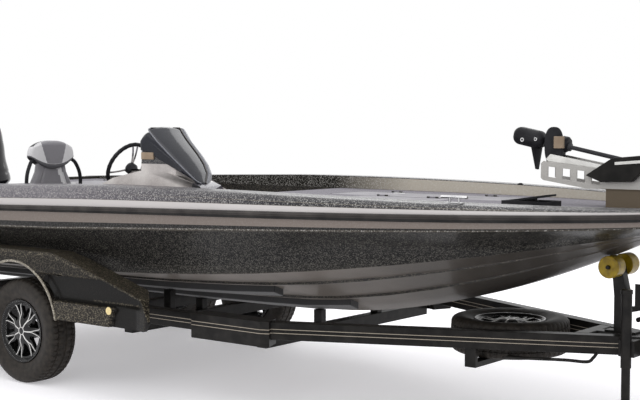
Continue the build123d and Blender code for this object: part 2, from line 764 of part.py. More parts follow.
def make_jack_wheel():
    wheel_x = jack_x - jack_trail
    half = jack_wheel_w / 2
    wheel = turned([(8 + pin_gap, -half), (8 + pin_gap, half), (30, half), (36, half - 12), (70, half - 12),
                    (78, half), (jack_wheel_r - 8, half), (jack_wheel_r, half - 10), (jack_wheel_r, -half + 10),
                    (jack_wheel_r - 8, -half), (78, -half), (70, -half + 12), (36, -half + 12), (30, -half)])
    return Pos(wheel_x, jack_y, jack_wheel_r) * wheel


# Outboard
def make_clamp_bracket():
    plate = block((transom_x - 70, transom_x - seat_gap), (-170, 170), (700, 1110))
    ears = []
    for side in (1, -1):
        y = tuple(sorted((side * 106, side * 134)))
        web = side_plate([(tilt_x - 36, tilt_z - 60), (tilt_x - 30, 830), (transom_x - 65, 800),
                          (transom_x - 65, tilt_z - 30), (tilt_x + 30, tilt_z + 12), (tilt_x - 30, tilt_z + 12)], y)
        ears.append(web + rod((tilt_x, y[0], tilt_z), (tilt_x, y[1], tilt_z), 42))
    pins = [rod((tilt_x, side * 134, tilt_z), (tilt_x, side * 50, tilt_z), 16) for side in (1, -1)]
    shape = plate
    for piece in ears + pins:
        shape = shape + piece
    return shape


def make_swivel_bracket():
    head = plan_plate([(swivel_x - 45, -20), (swivel_x - 20, -50), (swivel_x + 60, -90), (tilt_x + 32, -90),
                       (tilt_x + 32, 90), (swivel_x + 60, 90), (swivel_x - 20, 50), (swivel_x - 45, 20)],
                      (tilt_z - 40, tilt_z + 32))
    stem = rod((swivel_x, 0, 760), (swivel_x, 0, tilt_z), 48)
    shape = head + stem
    shape = shape - rod((tilt_x, -100, tilt_z), (tilt_x, 100, tilt_z), 16 + pin_gap)
    return shape - rod((swivel_x, 0, 700), (swivel_x, 0, tilt_z + 60), 30 + pin_gap)


def make_motor_leg():
    pin = rod((swivel_x, 0, 740), (swivel_x, 0, cowl_z[0]), 30)
    yoke_top = block((swivel_x - 200, swivel_x + 60), (-70, 70), (tilt_z + 46, cowl_z[0]))
    yoke_low = block((swivel_x - 120, swivel_x + 40), (-60, 60), (700, 752))
    leg = loft([
        section(x, half) for x, half in (
            (swivel_x - 60, [(70, 620), (70, cowl_z[0])]),
            (swivel_x - 200, [(85, 600), (95, cowl_z[0])]),
            (swivel_x - 330, [(20, 600), (60, cowl_z[0])]))], ruled=True)
    return pin + yoke_top + yoke_low + leg


def oval(x0, x1, half, z, power=2.3, count=20):
    """A closed outline between two x, with the half width half: a superellipse of straight facets."""
    mid, run = (x0 + x1) / 2, (x1 - x0) / 2
    points = []
    for i in range(count):
        c, d = math.cos(2 * math.pi * i / count), math.sin(2 * math.pi * i / count)
        points.append((mid + run * math.copysign(abs(c) ** (2 / power), c),
                       half * math.copysign(abs(d) ** (2 / power), d), z))
    return face_of(points)


def make_cowl():
    """The motor's cover, an egg of six outlines: height above its foot, front, back and half width."""
    z0, z1 = cowl_z
    table = ((0, 120, -410, 150), (62, 135, -495, 262), (235, 90, -520, 240), (476, 65, -510, 205),
             (575, 0, -470, 160), (z1 - z0, -70, -400, 95))
    sections = [oval(swivel_x + back, swivel_x + front, half, z0 + up) for up, front, back, half in table]
    return loft(sections, ruled=True)


def make_lower_unit():
    case = Pos(0, 0, 0) * rod((swivel_x + 60, 0, prop_z), (swivel_x - 230, 0, prop_z), 62)
    nose = loft([Plane((swivel_x + 60, 0, prop_z), z_dir=(1, 0, 0)) * Circle(62),
                 Plane((swivel_x + 150, 0, prop_z), z_dir=(1, 0, 0)) * Circle(18)])
    strut = side_plate([(swivel_x + 70, prop_z), (swivel_x - 20, 610), (swivel_x - 250, 610), (swivel_x - 205, prop_z)],
                       (-30, 30))
    plate = plan_plate([(swivel_x + 20, -20), (swivel_x - 60, -100), (swivel_x - 420, -110), (swivel_x - 420, 110),
                        (swivel_x - 60, 100), (swivel_x + 20, 20)], (598, 608))
    skeg = side_plate([(swivel_x + 40, prop_z - 50), (swivel_x - 160, 185), (swivel_x - 230, 185),
                       (swivel_x - 220, prop_z - 50)], (-7, 7))
    shaft = rod((swivel_x - 225, 0, prop_z), (swivel_x - 380, 0, prop_z), 14)
    return case + nose + strut + plate + skeg + shaft


def make_propeller():
    hub_x = swivel_x - 230 - 8
    hub = rod((hub_x, 0, prop_z), (hub_x - 130, 0, prop_z), 55)
    sections = []
    for radius, chord, pitch, thick in ((40, 76, 52, 12), (115, 118, 38, 9), (165, 96, 30, 6), (prop_r, 44, 26, 4)):
        outline = Plane((hub_x - 65, radius, prop_z), x_dir=(1, 0, 0), z_dir=(0, 1, 0)) * Rot(0, 0, pitch)
        sections.append(outline * Rectangle(thick, chord))
    blade = loft(sections, ruled=True)
    shape = hub
    for i in range(blade_count):
        shape = shape + blade.rotate(Axis((0, 0, prop_z), (1, 0, 0)), 360 / blade_count * i)
    return shape - rod((hub_x + 5, 0, prop_z), (hub_x - 140, 0, prop_z), 14 + pin_gap)


# Trolling motor
def make_troll_base():
    """Two side plates with windows, joined by a floor that stands on a riser at the bow."""
    y0, y1 = troll_y - 92, troll_y + 92
    x0, x1 = troll_base_x
    riser = block(riser_x, (troll_y - 80, troll_y + 80), (deck_z + seat_gap, riser_z))
    floor = block((x0 + 300, x1), (y0, y1), (riser_z, riser_z + 6))
    shape = riser + floor
    for side in (1, -1):
        y = troll_y + side * 88
        wall = side_plate([(x0, 1384), (x0 + 16, 1372), (x0 + 290, riser_z), (x1, riser_z), (x1, 1400),
                           (x0 + 16, 1484), (x0, 1470)], (y - 4, y + 4))
        for i in range(4):
            x = x0 + 46 + i * 92
            low, high = 1392 - i * 11, 1452 - i * 9
            wall = wall - side_plate([(x, low), (x + 52, low - 6), (x + 52, high - 5), (x, high)], (y - 10, y + 10))
        shape = shape + wall
    px, pz = arm_pivot
    return shape + rod((px, troll_y - 86, pz), (px, troll_y + 86, pz), 10)


def make_troll_wing():
    """The black fairing on the starboard side of the base."""
    y = troll_y - 92 - seat_gap
    wing = side_plate([(2112, 1408), (2205, 1372), (2390, 1378), (2455, 1440), (2560, 1470), (2560, 1500),
                       (2440, 1524), (2272, 1508)], (y - 40, y))
    return wing


def make_troll_arm():
    (px, pz), (ex, ez) = arm_pivot, arm_end
    shape = None
    for side in (1, -1):
        y = troll_y + side * 62
        link = side_plate([(px + 24, pz - 16), (px + 24, pz + 22), (ex, ez + 28), (ex - 28, ez), (ex, ez - 28),
                           (px - 30, pz - 26)], (y - 6, y + 6))
        shape = link if shape is None else shape + link
    web = rod((px - 130, troll_y - 62, pz + 34), (px - 130, troll_y + 62, pz + 34), 8)
    pin = rod((ex, troll_y - 68, ez), (ex, troll_y + 68, ez), 9)
    shape = shape + web + pin
    return shape - rod((px, troll_y - 80, pz), (px, troll_y + 80, pz), 10 + pin_gap)


def in_troll_frame(shape):
    """Places a shape whose origin is the bracket's pin and whose Z runs along the shaft to the head."""
    lean = math.radians(troll_tilt)
    along = Vector(-math.cos(lean), 0, math.sin(lean))
    place = Plane(Vector(arm_end[0], troll_y, arm_end[1]), x_dir=Vector(0, 1, 0), z_dir=along)
    return place.location * shape


def make_troll_bracket():
    body = Pos(0, -20, 0) * Box(88, 90, 70) + Pos(0, -shaft_rise, 10) * Box(76, 60, 130)
    body = body - Pos(0, 0, 0) * Cylinder(9 + pin_gap, 200, rotation=(0, 90, 0))
    body = body - Pos(0, -shaft_rise, 0) * Cylinder(troll_shaft_r + pin_gap, 300)
    return in_troll_frame(body)


def make_troll_shaft():
    low, high = -troll_reach, head_start
    shaft = Pos(0, -shaft_rise, (low + high) / 2) * Cylinder(troll_shaft_r, high - low)
    collar = Pos(0, -shaft_rise, -72) * Cylinder(24, 20)
    return in_troll_frame(shaft + collar)


def make_troll_head():
    """The capsule at the top of the shaft, with the cable guard below it."""
    z = head_start + seat_gap
    body = Pos(0, -shaft_rise, z + head_len / 2) * Box(112, 106, head_len)
    body = fillet(body.edges(), 46)
    guard = make_face(Polyline((0, -40, z + 14), (0, -40, z + 84), (0, 88, z + 26), (0, 88, z + 10), close=True))
    guard = extrude(guard, amount=9, dir=(1, 0, 0), both=True)
    return in_troll_frame(body + guard)


def make_troll_pod():
    pod = Pos(0, 0, -troll_reach - pod_r - 10) * Cylinder(pod_r, 260, rotation=(0, 90, 0))
    neck = Pos(0, 0, -troll_reach - 20 - seat_gap) * Cylinder(22, 40)
    skeg = Pos(60, 0, -troll_reach - 2 * pod_r - 40) * Box(110, 8, 80)
    return in_troll_frame(Pos(0, -shaft_rise, 0) * (pod + neck + skeg))


def make_troll_prop():
    z = -troll_reach - pod_r - 10
    hub = Cylinder(30, 36, rotation=(0, 90, 0))
    shape = hub + Box(36, 24, 210)
    return in_troll_frame(Pos(-148 - pin_gap, -shaft_rise, z) * shape)


def make_foot_pedal():
    """The trolling motor's foot control: a tray on the front deck with a rocking pedal in it."""
    x0, x1 = pedal_x
    y0, y1 = pedal_y
    low = deck_z + seat_gap
    tray = block((x0, x1), (y0, y1), (low, low + 34)) - block((x0 + 8, x1 - 8), (y0 + 8, y1 - 8), (low + 8, low + 60))
    pedal = side_plate([(x0 + 20, low + 22), (x0 + 20, low + 34), (x1 - 20, low + 72), (x1 - 20, low + 60)],
                       (y0 + 22, y1 - 22))
    post = rod(((x0 + x1) / 2, y0 + 2, low + 24), ((x0 + x1) / 2, y1 - 2, low + 24), 8)
    mid = (x0 + x1) / 2
    return tray + post + pedal + block((mid - 14, mid + 14), (y0 + 40, y1 - 40), (low + 20, low + 46))


def make_lamps():
    """Round side markers on the fenders and a lamp at each after corner of the trailer."""
    lamps = []
    for side in (1, -1):
        y = side * (fender_y[1] + seat_gap)
        lamps.append(rod((marker_x, y, marker_z), (marker_x, y + side * 6, marker_z), 24))
        x = rail_rear_x - seat_gap
        y0, y1 = sorted((side * (rail_y - 60), side * (rail_y + 70)))
        lamps.append(block((x - 45, x), (y0, y1), (rail_top - 92, rail_top + 8)))
    return Compound(children=lamps)


def make_cleats():
    """Four pull-up cleats on the gunwales, each a bar on two posts."""
    cleats = []
    for x in cleat_x:
        y = sheer_y(x) - 118 * min(1.0, sheer_y(x) / 400)
        z = max(on_facet(gunwale_height, x - 55), on_facet(gunwale_height, x + 55))
        for side in (1, -1):
            base = block((x - 55, x + 55), (side * y - 16, side * y + 16), (z + seat_gap, z + 5))
            for end in (-28, 28):
                base = base + rod((x + end, side * y, z + 1), (x + end, side * y, z + 30), 7)
            cleats.append(base + rod((x - 80, side * y, z + 32), (x + 80, side * y, z + 32), 8))
    return Compound(children=cleats)


def wheel_set():
    nodes = {}
    rim, tyre = make_rim(), make_tyre()
    corners = (("starboard_front", -1, 0), ("starboard_rear", -1, 1), ("port_front", 1, 0), ("port_rear", 1, 1))
    for name, side, axle in corners:
        place = Pos(axle_x[axle], side * wheel_y, axle_z)
        turn = Rot(0, 0, 0) if side > 0 else Rot(0, 0, 180)
        nodes["rim_" + name] = place * turn * rim
        nodes["tyre_" + name] = place * turn * tyre
    flat = Pos(spare_x, 0, spare_z) * Rot(90, 0, 0)
    nodes["rim_spare"] = flat * rim
    nodes["tyre_spare"] = flat * tyre
    return nodes


def make_spare_carrier():
    """A bar under the spare wheel, hung from both tongue rails, with the boss that the wheel is bolted to."""
    z1 = spare_z - tyre_w / 2 - seat_gap
    reach = (apex_x - spare_x) * math.tan(tongue_run) + 10
    x = (spare_x - 35, spare_x + 35)
    shape = block(x, (-reach, reach), (z1 - carrier_h, z1))
    for side in (1, -1):
        hanger = tuple(sorted((side * reach, side * (reach - 25))))
        shape = shape + block(x, hanger, (z1 - carrier_h, rail_top - rail_h - seat_gap))
    return shape + rod((spare_x, 0, z1 - 5), (spare_x, 0, spare_z - rim_w / 2 + 4 - seat_gap), 30)


def build():
    bunks, brackets = make_bunks()
    nodes = {
        "hull": make_hull(),
        "deck_cap": make_deck_cap(),
        "rub_rail": make_rub_rail(),
        "console": make_console(),
        "windscreen": make_windscreen(),
        "helm_wheel": make_helm(),
        "seat_base": make_seat_base(),
        "driver_cushion": make_cushion(-1),
        "passenger_cushion": make_cushion(1),
        "driver_back": make_back(-1),
        "passenger_back": make_back(1),
        "frame_starboard": make_frame_side(-1),
        "frame_port": make_frame_side(1),
        "crossmembers": make_crossmembers(),
        "tongue_beam": make_tongue_beam(),
        "coupler": make_coupler(),
        "axles": make_axles(),
        "fender_starboard": make_fender(-1),
        "fender_port": make_fender(1),
        "bunks": bunks,
        "bunk_brackets": brackets,
        "winch_post": make_winch_post(),
        "bow_rollers": make_bow_rollers(),
        "winch_drum": make_winch_drum(),
        "jack_tube": make_jack_tube(),
        "jack_leg": make_jack_leg(),
        "jack_fork": make_jack_fork(),
        "jack_wheel": make_jack_wheel(),
        "spare_carrier": make_spare_carrier(),
        "clamp_bracket": make_clamp_bracket(),
        "swivel_bracket": make_swivel_bracket(),
        "motor_leg": make_motor_leg() + make_lower_unit(),
        "motor_cowl": make_cowl(),
        "propeller": make_propeller(),
        "trolling_base": make_troll_base(),
        "trolling_wing": make_troll_wing(),
        "trolling_arm": make_troll_arm(),
        "trolling_bracket": make_troll_bracket(),
        "trolling_shaft": make_troll_shaft(),
        "trolling_pod": make_troll_pod(),
        "trolling_head": make_troll_head(),
        "trolling_prop": make_troll_prop(),
        "foot_pedal": make_foot_pedal(),
        "lamps": make_lamps(),
        "cleats": make_cleats(),
    }
    nodes.update(make_lids())
    nodes.update(wheel_set())
    return nodes


os.makedirs("parts", exist_ok=True)
for node, shape in build().items():
    export_step(shape, "parts/" + node + ".step")
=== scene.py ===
import bmesh
import bpy
import functools
import json
import math
import numpy as np
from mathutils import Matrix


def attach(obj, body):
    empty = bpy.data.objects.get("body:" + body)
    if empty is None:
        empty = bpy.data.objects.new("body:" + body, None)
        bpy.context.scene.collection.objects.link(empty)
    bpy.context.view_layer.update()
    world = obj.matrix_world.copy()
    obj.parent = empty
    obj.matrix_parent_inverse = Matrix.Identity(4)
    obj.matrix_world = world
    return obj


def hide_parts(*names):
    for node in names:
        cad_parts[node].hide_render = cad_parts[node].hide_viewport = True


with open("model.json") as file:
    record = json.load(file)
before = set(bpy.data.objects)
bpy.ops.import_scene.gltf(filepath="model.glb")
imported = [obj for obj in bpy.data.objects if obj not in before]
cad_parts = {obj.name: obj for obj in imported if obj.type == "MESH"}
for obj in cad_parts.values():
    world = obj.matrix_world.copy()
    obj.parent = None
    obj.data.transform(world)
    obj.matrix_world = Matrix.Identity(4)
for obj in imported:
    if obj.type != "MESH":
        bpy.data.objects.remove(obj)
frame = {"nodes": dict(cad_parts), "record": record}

print("frame loaded")
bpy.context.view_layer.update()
nodeBody = {node: body for body, nodes in frame["record"]["behaviour"]["bodies"].items() for node in nodes}


# Shader nodes
def toLinear(code):
    # sRGB hex to linear light: the standard two-part curve
    values = [int(code[i:i + 2], 16) / 255 for i in (1, 3, 5)]
    return tuple(v / 12.92 if v <= 0.04045 else ((v + 0.055) / 1.055) ** 2.4 for v in values) + (1.0,)


def setInputs(node, inputs):
    # inputs by name or in order (a map range takes value, from, to, new from, new to): a node or socket is
    # linked, a hex code is set as linear light, the rest is set as it is
    for key, source in inputs.items() if isinstance(inputs, dict) else enumerate(inputs):
        if isinstance(source, bpy.types.Node):
            source = source.outputs[2 if source.bl_idname == "ShaderNodeMix" else 0]
        if isinstance(source, bpy.types.NodeSocket):
            node.id_data.links.new(source, node.inputs[key])
        else:
            node.inputs[key].default_value = toLinear(source) if isinstance(source, str) else source


def addNode(tree, kind, inputs=(), stops=(), **fields):
    # one shader node: its fields, which decide its sockets, then its inputs and its ramp's places and colours
    node = tree.nodes.new("ShaderNode" + kind)
    for name, value in fields.items():
        setattr(node, name, value)
    setInputs(node, inputs)
    for count, (place, colour) in enumerate(stops):
        stop = node.color_ramp.elements[count] if count < 2 else node.color_ramp.elements.new(place)
        stop.position = place
        stop.color = toLinear(colour) if isinstance(colour, str) else colour
    return node


glossInputs = ("Metallic", "Roughness", "Coat Weight", "Coat Roughness", "Specular IOR Level")


def newMaterial(name, gloss, inputs=()):
    # up to five values of gloss and any other inputs set on the shader; comes back with what adds nodes to it
    material = bpy.data.materials.new(name)
    material.use_nodes = True
    shader = material.node_tree.nodes["Principled BSDF"]
    setInputs(shader, dict(zip(glossInputs, gloss)) | dict(inputs))
    return material, functools.partial(addNode, material.node_tree), shader


# Studio: the camera stands where the photograph was taken from, in metres, with the angles in degrees
cameraSettings = {"place": (5.252, -6.285, 1.684), "turn": 38.33, "pitch": 3.42, "lens": 69.19, "sensor": 36,
                  "reach": 200}
studioSettings = {
    # the world's strength as a light on the object, and the glow added to the floor
    "world": 0.85, "lift": 0.42, "floor": "#f0eff2", "reach": 60.0,
    # metres from the middle between which the floor turns white
    "fade": (5.0, 11.0),
    # name, place, size, energy in watts, aim
    "lamps": (
        ("key", (5.0, -7.5, 6.5), 5.0, 170, (0.5, -0.5, 0.7)),
        ("overhead", (0.0, -0.5, 7.0), 7.0, 130, (0.0, 0.0, 0.8)),
        ("strip", (-3.5, -8.5, 3.2), 3.5, 80, (-0.5, 0.0, 0.9)),
        ("back", (-4.0, 7.0, 5.5), 5.0, 120, (0.0, 0.0, 0.8)),
    ),
}


def addObject(name, data):
    # an object at the origin, linked to the scene
    item = bpy.data.objects.new(name, data)
    bpy.context.scene.collection.objects.link(item)
    return item


def makeCamera(values):
    # turned about the vertical, then tipped down from level by the pitch
    data = bpy.data.cameras.new("camera")
    data.lens = values["lens"]
    data.sensor_width = values["sensor"]
    data.sensor_fit = "HORIZONTAL"
    data.clip_end = values["reach"]
    camera = addObject("camera", data)
    camera.location = values["place"]
    camera.rotation_euler = (math.radians(90 - values["pitch"]), 0, math.radians(values["turn"]))
    bpy.context.scene.camera = camera


def seenDirectly(add):
    # 1 for rays of the camera, of a reflection and through a clear sheet, 0 for those that light the object
    rays = add("LightPath").outputs
    seen = add("Math", [rays["Is Camera Ray"], rays["Is Glossy Ray"]], operation="MAXIMUM")
    return add("Math", [seen, rays["Is Transmission Ray"]], operation="MAXIMUM")


def makeStudio(values):
    # a world that is white where it is seen and dimmer as a light, a floor that fades to white, area lamps
    world = bpy.data.worlds.new("studio")
    bpy.context.scene.world = world
    world.use_nodes = True
    add = functools.partial(addNode, world.node_tree)
    power = add("MapRange", [seenDirectly(add), 0.0, 1.0, values["world"], 1.0])
    setInputs(world.node_tree.nodes["Background"], {"Color": (1, 1, 1, 1), "Strength": power})

    material, add, shader = newMaterial("studioFloorPaint", (0.0, 0.7), {"Base Color": values["floor"]})
    length = add("VectorMath", [add("TexCoord").outputs["Object"]], operation="LENGTH").outputs["Value"]
    fade = add("MapRange", [length, *values["fade"]], interpolation_type="SMOOTHSTEP")
    share = add("Math", [fade, seenDirectly(add)], operation="MULTIPLY")
    white = add("Emission", {"Color": (1, 1, 1, 1), "Strength": 1.0})
    glow = add("Emission", {"Color": values["floor"], "Strength": values["lift"]})
    lifted = add("AddShader", [shader, glow])
    both = add("MixShader", [share, lifted, white])
    setInputs(material.node_tree.nodes["Material Output"], {"Surface": both})
    mesh = bpy.data.meshes.new("floor")
    reach = values["reach"]
    mesh.from_pydata([(-reach, -reach, 0), (reach, -reach, 0), (reach, reach, 0), (-reach, reach, 0)], [],
                     [(0, 1, 2, 3)])
    mesh.materials.append(material)
    addObject("floor", mesh)

    for name, place, size, energy, aim in values["lamps"]:
        lamp = bpy.data.lights.new(name, "AREA")
        lamp.energy = energy
        lamp.size = size
        holder = addObject(name, lamp)
        holder.location = place
        away = np.subtract(place, aim)
        flat = math.hypot(away[0], away[1])
        holder.rotation_euler = (math.atan2(flat, away[2]), 0, math.atan2(away[0], -away[1]))


makeCamera(cameraSettings)
bpy.context.scene.view_settings.view_transform = "Standard"
makeStudio(studioSettings)
print("studio made")


# Meshes
def turns(count):
    # angles spread evenly round a full turn
    return np.linspace(0, 2 * math.pi, count, endpoint=False)


def signedPower(value, power):
    # the size of the value to a power, with its sign kept: the two coordinates of a superellipse
    return np.sign(value) * np.abs(value) ** power


def spread(*parts):
    # points from coordinates that are spread over one another's rows and columns
    return np.stack(np.broadcast_arrays(*parts), -1)


def gridMesh(points, wrapU=False, wrapV=False, **attributes):
    # quads between neighbours of a (rows, columns, 3) array, closed along rows or columns where asked
    rows, columns = points.shape[:2]
    i, j = np.meshgrid(np.arange(rows if wrapU else rows - 1), np.arange(columns if wrapV else columns - 1),
                       indexing="ij")
    k, l = (i + 1) % rows, (j + 1) % columns
    quads = np.stack([i * columns + j, k * columns + j, k * columns + l, i * columns + l], -1).reshape(-1, 4)
    mesh = bpy.data.meshes.new("grid")
    mesh.from_pydata(points.reshape(-1, 3).tolist(), [], quads.tolist())
    for key, values in attributes.items():
        layer = mesh.attributes.new(key, "FLOAT", "POINT")
        layer.data.foreach_set("value", np.broadcast_to(values, (rows, columns)).astype(np.float32).ravel())
    return mesh


def joinMeshes(meshes):
    # several meshes as one, attributes kept
    work = bmesh.new()
    for mesh in meshes:
        work.from_mesh(mesh)
    joined = bpy.data.meshes.new("joined")
    work.to_mesh(joined)
    work.free()
    return joined


def weld(mesh, turnOut=False, flatten=False):
    # poles and seams merged; where asked, faces turned outwards and flat neighbours made one face
    work = bmesh.new()
    work.from_mesh(mesh)
    bmesh.ops.remove_doubles(work, verts=work.verts, dist=0.00002)
    if turnOut:
        bmesh.ops.recalc_face_normals(work, faces=work.faces)
    if flatten:
        bmesh.ops.dissolve_limit(work, angle_limit=math.radians(0.5), verts=work.verts, edges=work.edges)
    work.to_mesh(mesh)
    work.free()


def finishPiece(name, mesh, material, body="boat", replaced=(), angle=35.0, tidy=True):
    # welded, shaded softly below the angle, and told which body it rides on and what it stands in for
    if tidy:
        weld(mesh, turnOut=True)
    mesh.name = name
    mesh.polygons.foreach_set("use_smooth", np.ones(len(mesh.polygons), bool))
    mesh.set_sharp_from_angle(angle=math.radians(angle))
    piece = addObject(name, mesh)
    mesh.materials.clear()
    mesh.materials.append(material)
    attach(piece, body)
    if replaced:
        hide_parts(*replaced)
    return piece


def softEdged(node, material, width=0.0, segments=2, angle=30.0, reshape=None):
    # a solid's own mesh, merged and with its edges rounded by width, in place of the plain one
    mesh = frame["nodes"][node].data.copy()
    if reshape:
        flat = np.empty(3 * len(mesh.vertices), np.float32)
        mesh.vertices.foreach_get("co", flat)
        mesh.vertices.foreach_set("co", reshape(flat.reshape(-1, 3)).astype(np.float32).ravel())
    weld(mesh, flatten=width > 0)
    piece = finishPiece(node + "_finish", mesh, material, nodeBody[node], (node,), angle=angle, tidy=False)
    if width:
        bevel = piece.modifiers.new("edges", "BEVEL")
        bevel.width = width
        bevel.segments = segments
        bevel.limit_method = "ANGLE"
        bevel.angle_limit = math.radians(angle)
        bevel.harden_normals = True
    return piece


def lathe(profile, centre, axis, count=64):
    # (radius, height) points turned about an axis through the centre, height running along the axis
    axis = np.asarray(axis, float) / np.linalg.norm(axis)
    side = np.cross(axis, (0, 0, 1) if abs(axis[2]) < 0.9 else (1, 0, 0))
    side = side / np.linalg.norm(side)
    turn = turns(count)[:, None, None]
    radius, height = np.asarray(profile, float).T[..., None]
    ring = np.cos(turn) * side + np.sin(turn) * np.cross(axis, side)
    return gridMesh(np.asarray(centre, float) + ring * radius + height * axis, wrapU=True)


def smoothPath(points, count):
    # a line through the points with the tangents of their neighbours (a cardinal spline)
    points = np.asarray(points, float)
    padded = np.concatenate([2 * points[:1] - points[1:2], points, 2 * points[-1:] - points[-2:-1]])
    place = np.linspace(0, len(points) - 1 - 1e-9, count)
    index = place.astype(int)
    t = (place - index)[:, None]
    a, b, c, d = (padded[index + k] for k in range(4))
    square, cube = 2 * a - 5 * b + 4 * c - d, 3 * b - a - 3 * c + d
    return 0.5 * (2 * b + (c - a) * t + square * t ** 2 + cube * t ** 3)


def closeEnds(rows, low=None, high=None):
    # the ends of a stack of outlines drawn in to two points, or to their own middles
    low = rows[0].mean(0) if low is None else low
    high = rows[-1].mean(0) if high is None else high
    return np.concatenate([np.broadcast_to(low, rows[:1].shape), rows, np.broadcast_to(high, rows[:1].shape)])


def sweep(path, outline, up=(0, 0, 1), closed=False):
    # an outline of (side, up) offsets carried along a path, square to its tangent; scale 1 all along
    path = np.asarray(path, float)
    tangent = np.roll(path, -1, 0) - np.roll(path, 1, 0) if closed else np.gradient(path, axis=0)
    tangent = tangent / np.linalg.norm(tangent, axis=1)[:, None]
    side = np.cross(tangent, np.asarray(up, float))
    side = side / np.linalg.norm(side, axis=1)[:, None]
    rise = np.cross(side, tangent)
    outline = np.asarray(outline, float)
    points = path[:, None] + side[:, None] * outline[None, :, :1] + rise[:, None] * outline[None, :, 1:]
    return gridMesh(points if closed else closeEnds(points, path[0], path[-1]), wrapU=closed, wrapV=True)


def roundOutline(radius, count=16, flat=1.0):
    # an ellipse, its height the radius times flat
    turn = turns(count)
    return np.stack([radius * np.cos(turn), radius * flat * np.sin(turn)], 1)


def flatOutline(half, thick):
    # a rectangle given by its half width and half thickness
    return np.array([(-half, -thick), (half, -thick), (half, thick), (-half, thick)])


def plate(centre, size, corner=0.3, turn=None, drawIn=0.12):
    # a rounded block: superellipse outlines whose power follows the corner, top and bottom edges drawn in
    lx, ly, lz = np.asarray(size, float) / 2
    a = turns(48)
    power = 2 / (2 + 6 * (1 - corner))
    edge = min(drawIn * min(lx, ly), lz)
    rows = [(0, -lz), (1 - drawIn, -lz), (1, edge - lz), (1, lz - edge), (1 - drawIn, lz), (0, lz)]
    scale, z = np.array(rows).T[..., None]
    points = spread(scale * lx * signedPower(np.cos(a), power), scale * ly * signedPower(np.sin(a), power), z)
    if turn is not None:
        points = points @ np.asarray(turn, float)
    return gridMesh(points + np.asarray(centre, float), wrapV=True)


# Materials: each gloss holds metallic, roughness, coat, the coat's roughness and the specular level
def flakeIn(add, shader, colour, flakeMm, sparkle, flake, where=None):
    # glitter in clear resin: cells of flakeMm, one in several bright, each tilted its own way, less of it
    # where told
    cells = add("TexVoronoi", {"Scale": 1000 / flakeMm, "Vector": add("TexCoord").outputs["Object"]})
    parts = add("SeparateColor", [cells.outputs["Color"]]).outputs
    bright = add("MapRange", [parts[0], 0.62, 1.0, 0.0, sparkle])
    if where:
        bright = add("Math", [bright, where], operation="MULTIPLY")
    mixed = add("Mix", {0: bright, 6: colour, 7: flake}, data_type="RGBA")
    bump = add("Bump", {"Strength": 0.35, "Distance": 0.0006, "Height": parts[1]})
    setInputs(shader, {"Base Color": mixed, "Normal": bump})


def twoTone(add, shader, pattern, stops, grain=None, strength=0.5, depth=0.0005):
    # the shade by a ramp over a pattern, and relief from a grain: strength as a share, depth in metres
    setInputs(shader, {"Base Color": add("ValToRGB", [pattern], stops)})
    if grain:
        bump = add("Bump", {"Strength": strength, "Distance": depth, "Height": grain})
        setInputs(shader, {"Normal": bump})


def flakeGelcoat(name, base, flake, flakeMm, sparkle, metallic, roughness, coat):
    # polyester gelcoat over metal flake, sprayed and polished: deep gloss over glitter,
    # the flake drawn coarser than its real 0.6 mm so that it shows
    material, add, shader = newMaterial(name, (metallic, roughness, coat, 0.05, 0.25))
    flakeIn(add, shader, base, flakeMm, sparkle, flake)
    return material


def sidesGelcoat(values):
    # the hull's gelcoat: pewter bottom, a glittering line along the chine, black flake sides and a line at
    # the joint, by the girth from the keel; cloudy shades, darkened towards the bow as painted shade, less flake
    # below the chine
    material, add, shader = newMaterial("hullFlakeGelcoat", (0.05, 0.45, 0.22, 0.2, 0.08))
    girth = add("Attribute", attribute_name="girth").outputs["Fac"]
    half = add("Math", [girth, 0.5], operation="MULTIPLY")
    ramp = add("ValToRGB", [half], [(place, values[key]) for place, key in values["bands"]])
    ramp.color_ramp.interpolation = "CONSTANT"
    place = add("TexCoord").outputs["Object"]
    cloud = add("TexNoise", {"Scale": 3.0, "Detail": 3.0, "Vector": place})
    shade = add("MapRange", [cloud, 0.35, 0.7, 0.82, 1.12])
    # painted shade: the colour falls to a fifth from x 0.2 to 1.9 and stays so to the bow
    forward = add("MapRange", [add("SeparateXYZ", [place]), 0.2, 1.9, 1.0, 0.20])
    shade = add("Math", [shade, forward], operation="MULTIPLY")
    tinted = add("Mix", {0: 1.0, 6: ramp, 7: shade}, data_type="RGBA", blend_type="MULTIPLY")
    above = add("MapRange", [girth, 0.90, 1.0, 0.12])
    flakeIn(add, shader, tinted, values["flakeMm"], values["sparkle"], values["flake"], above)
    return material


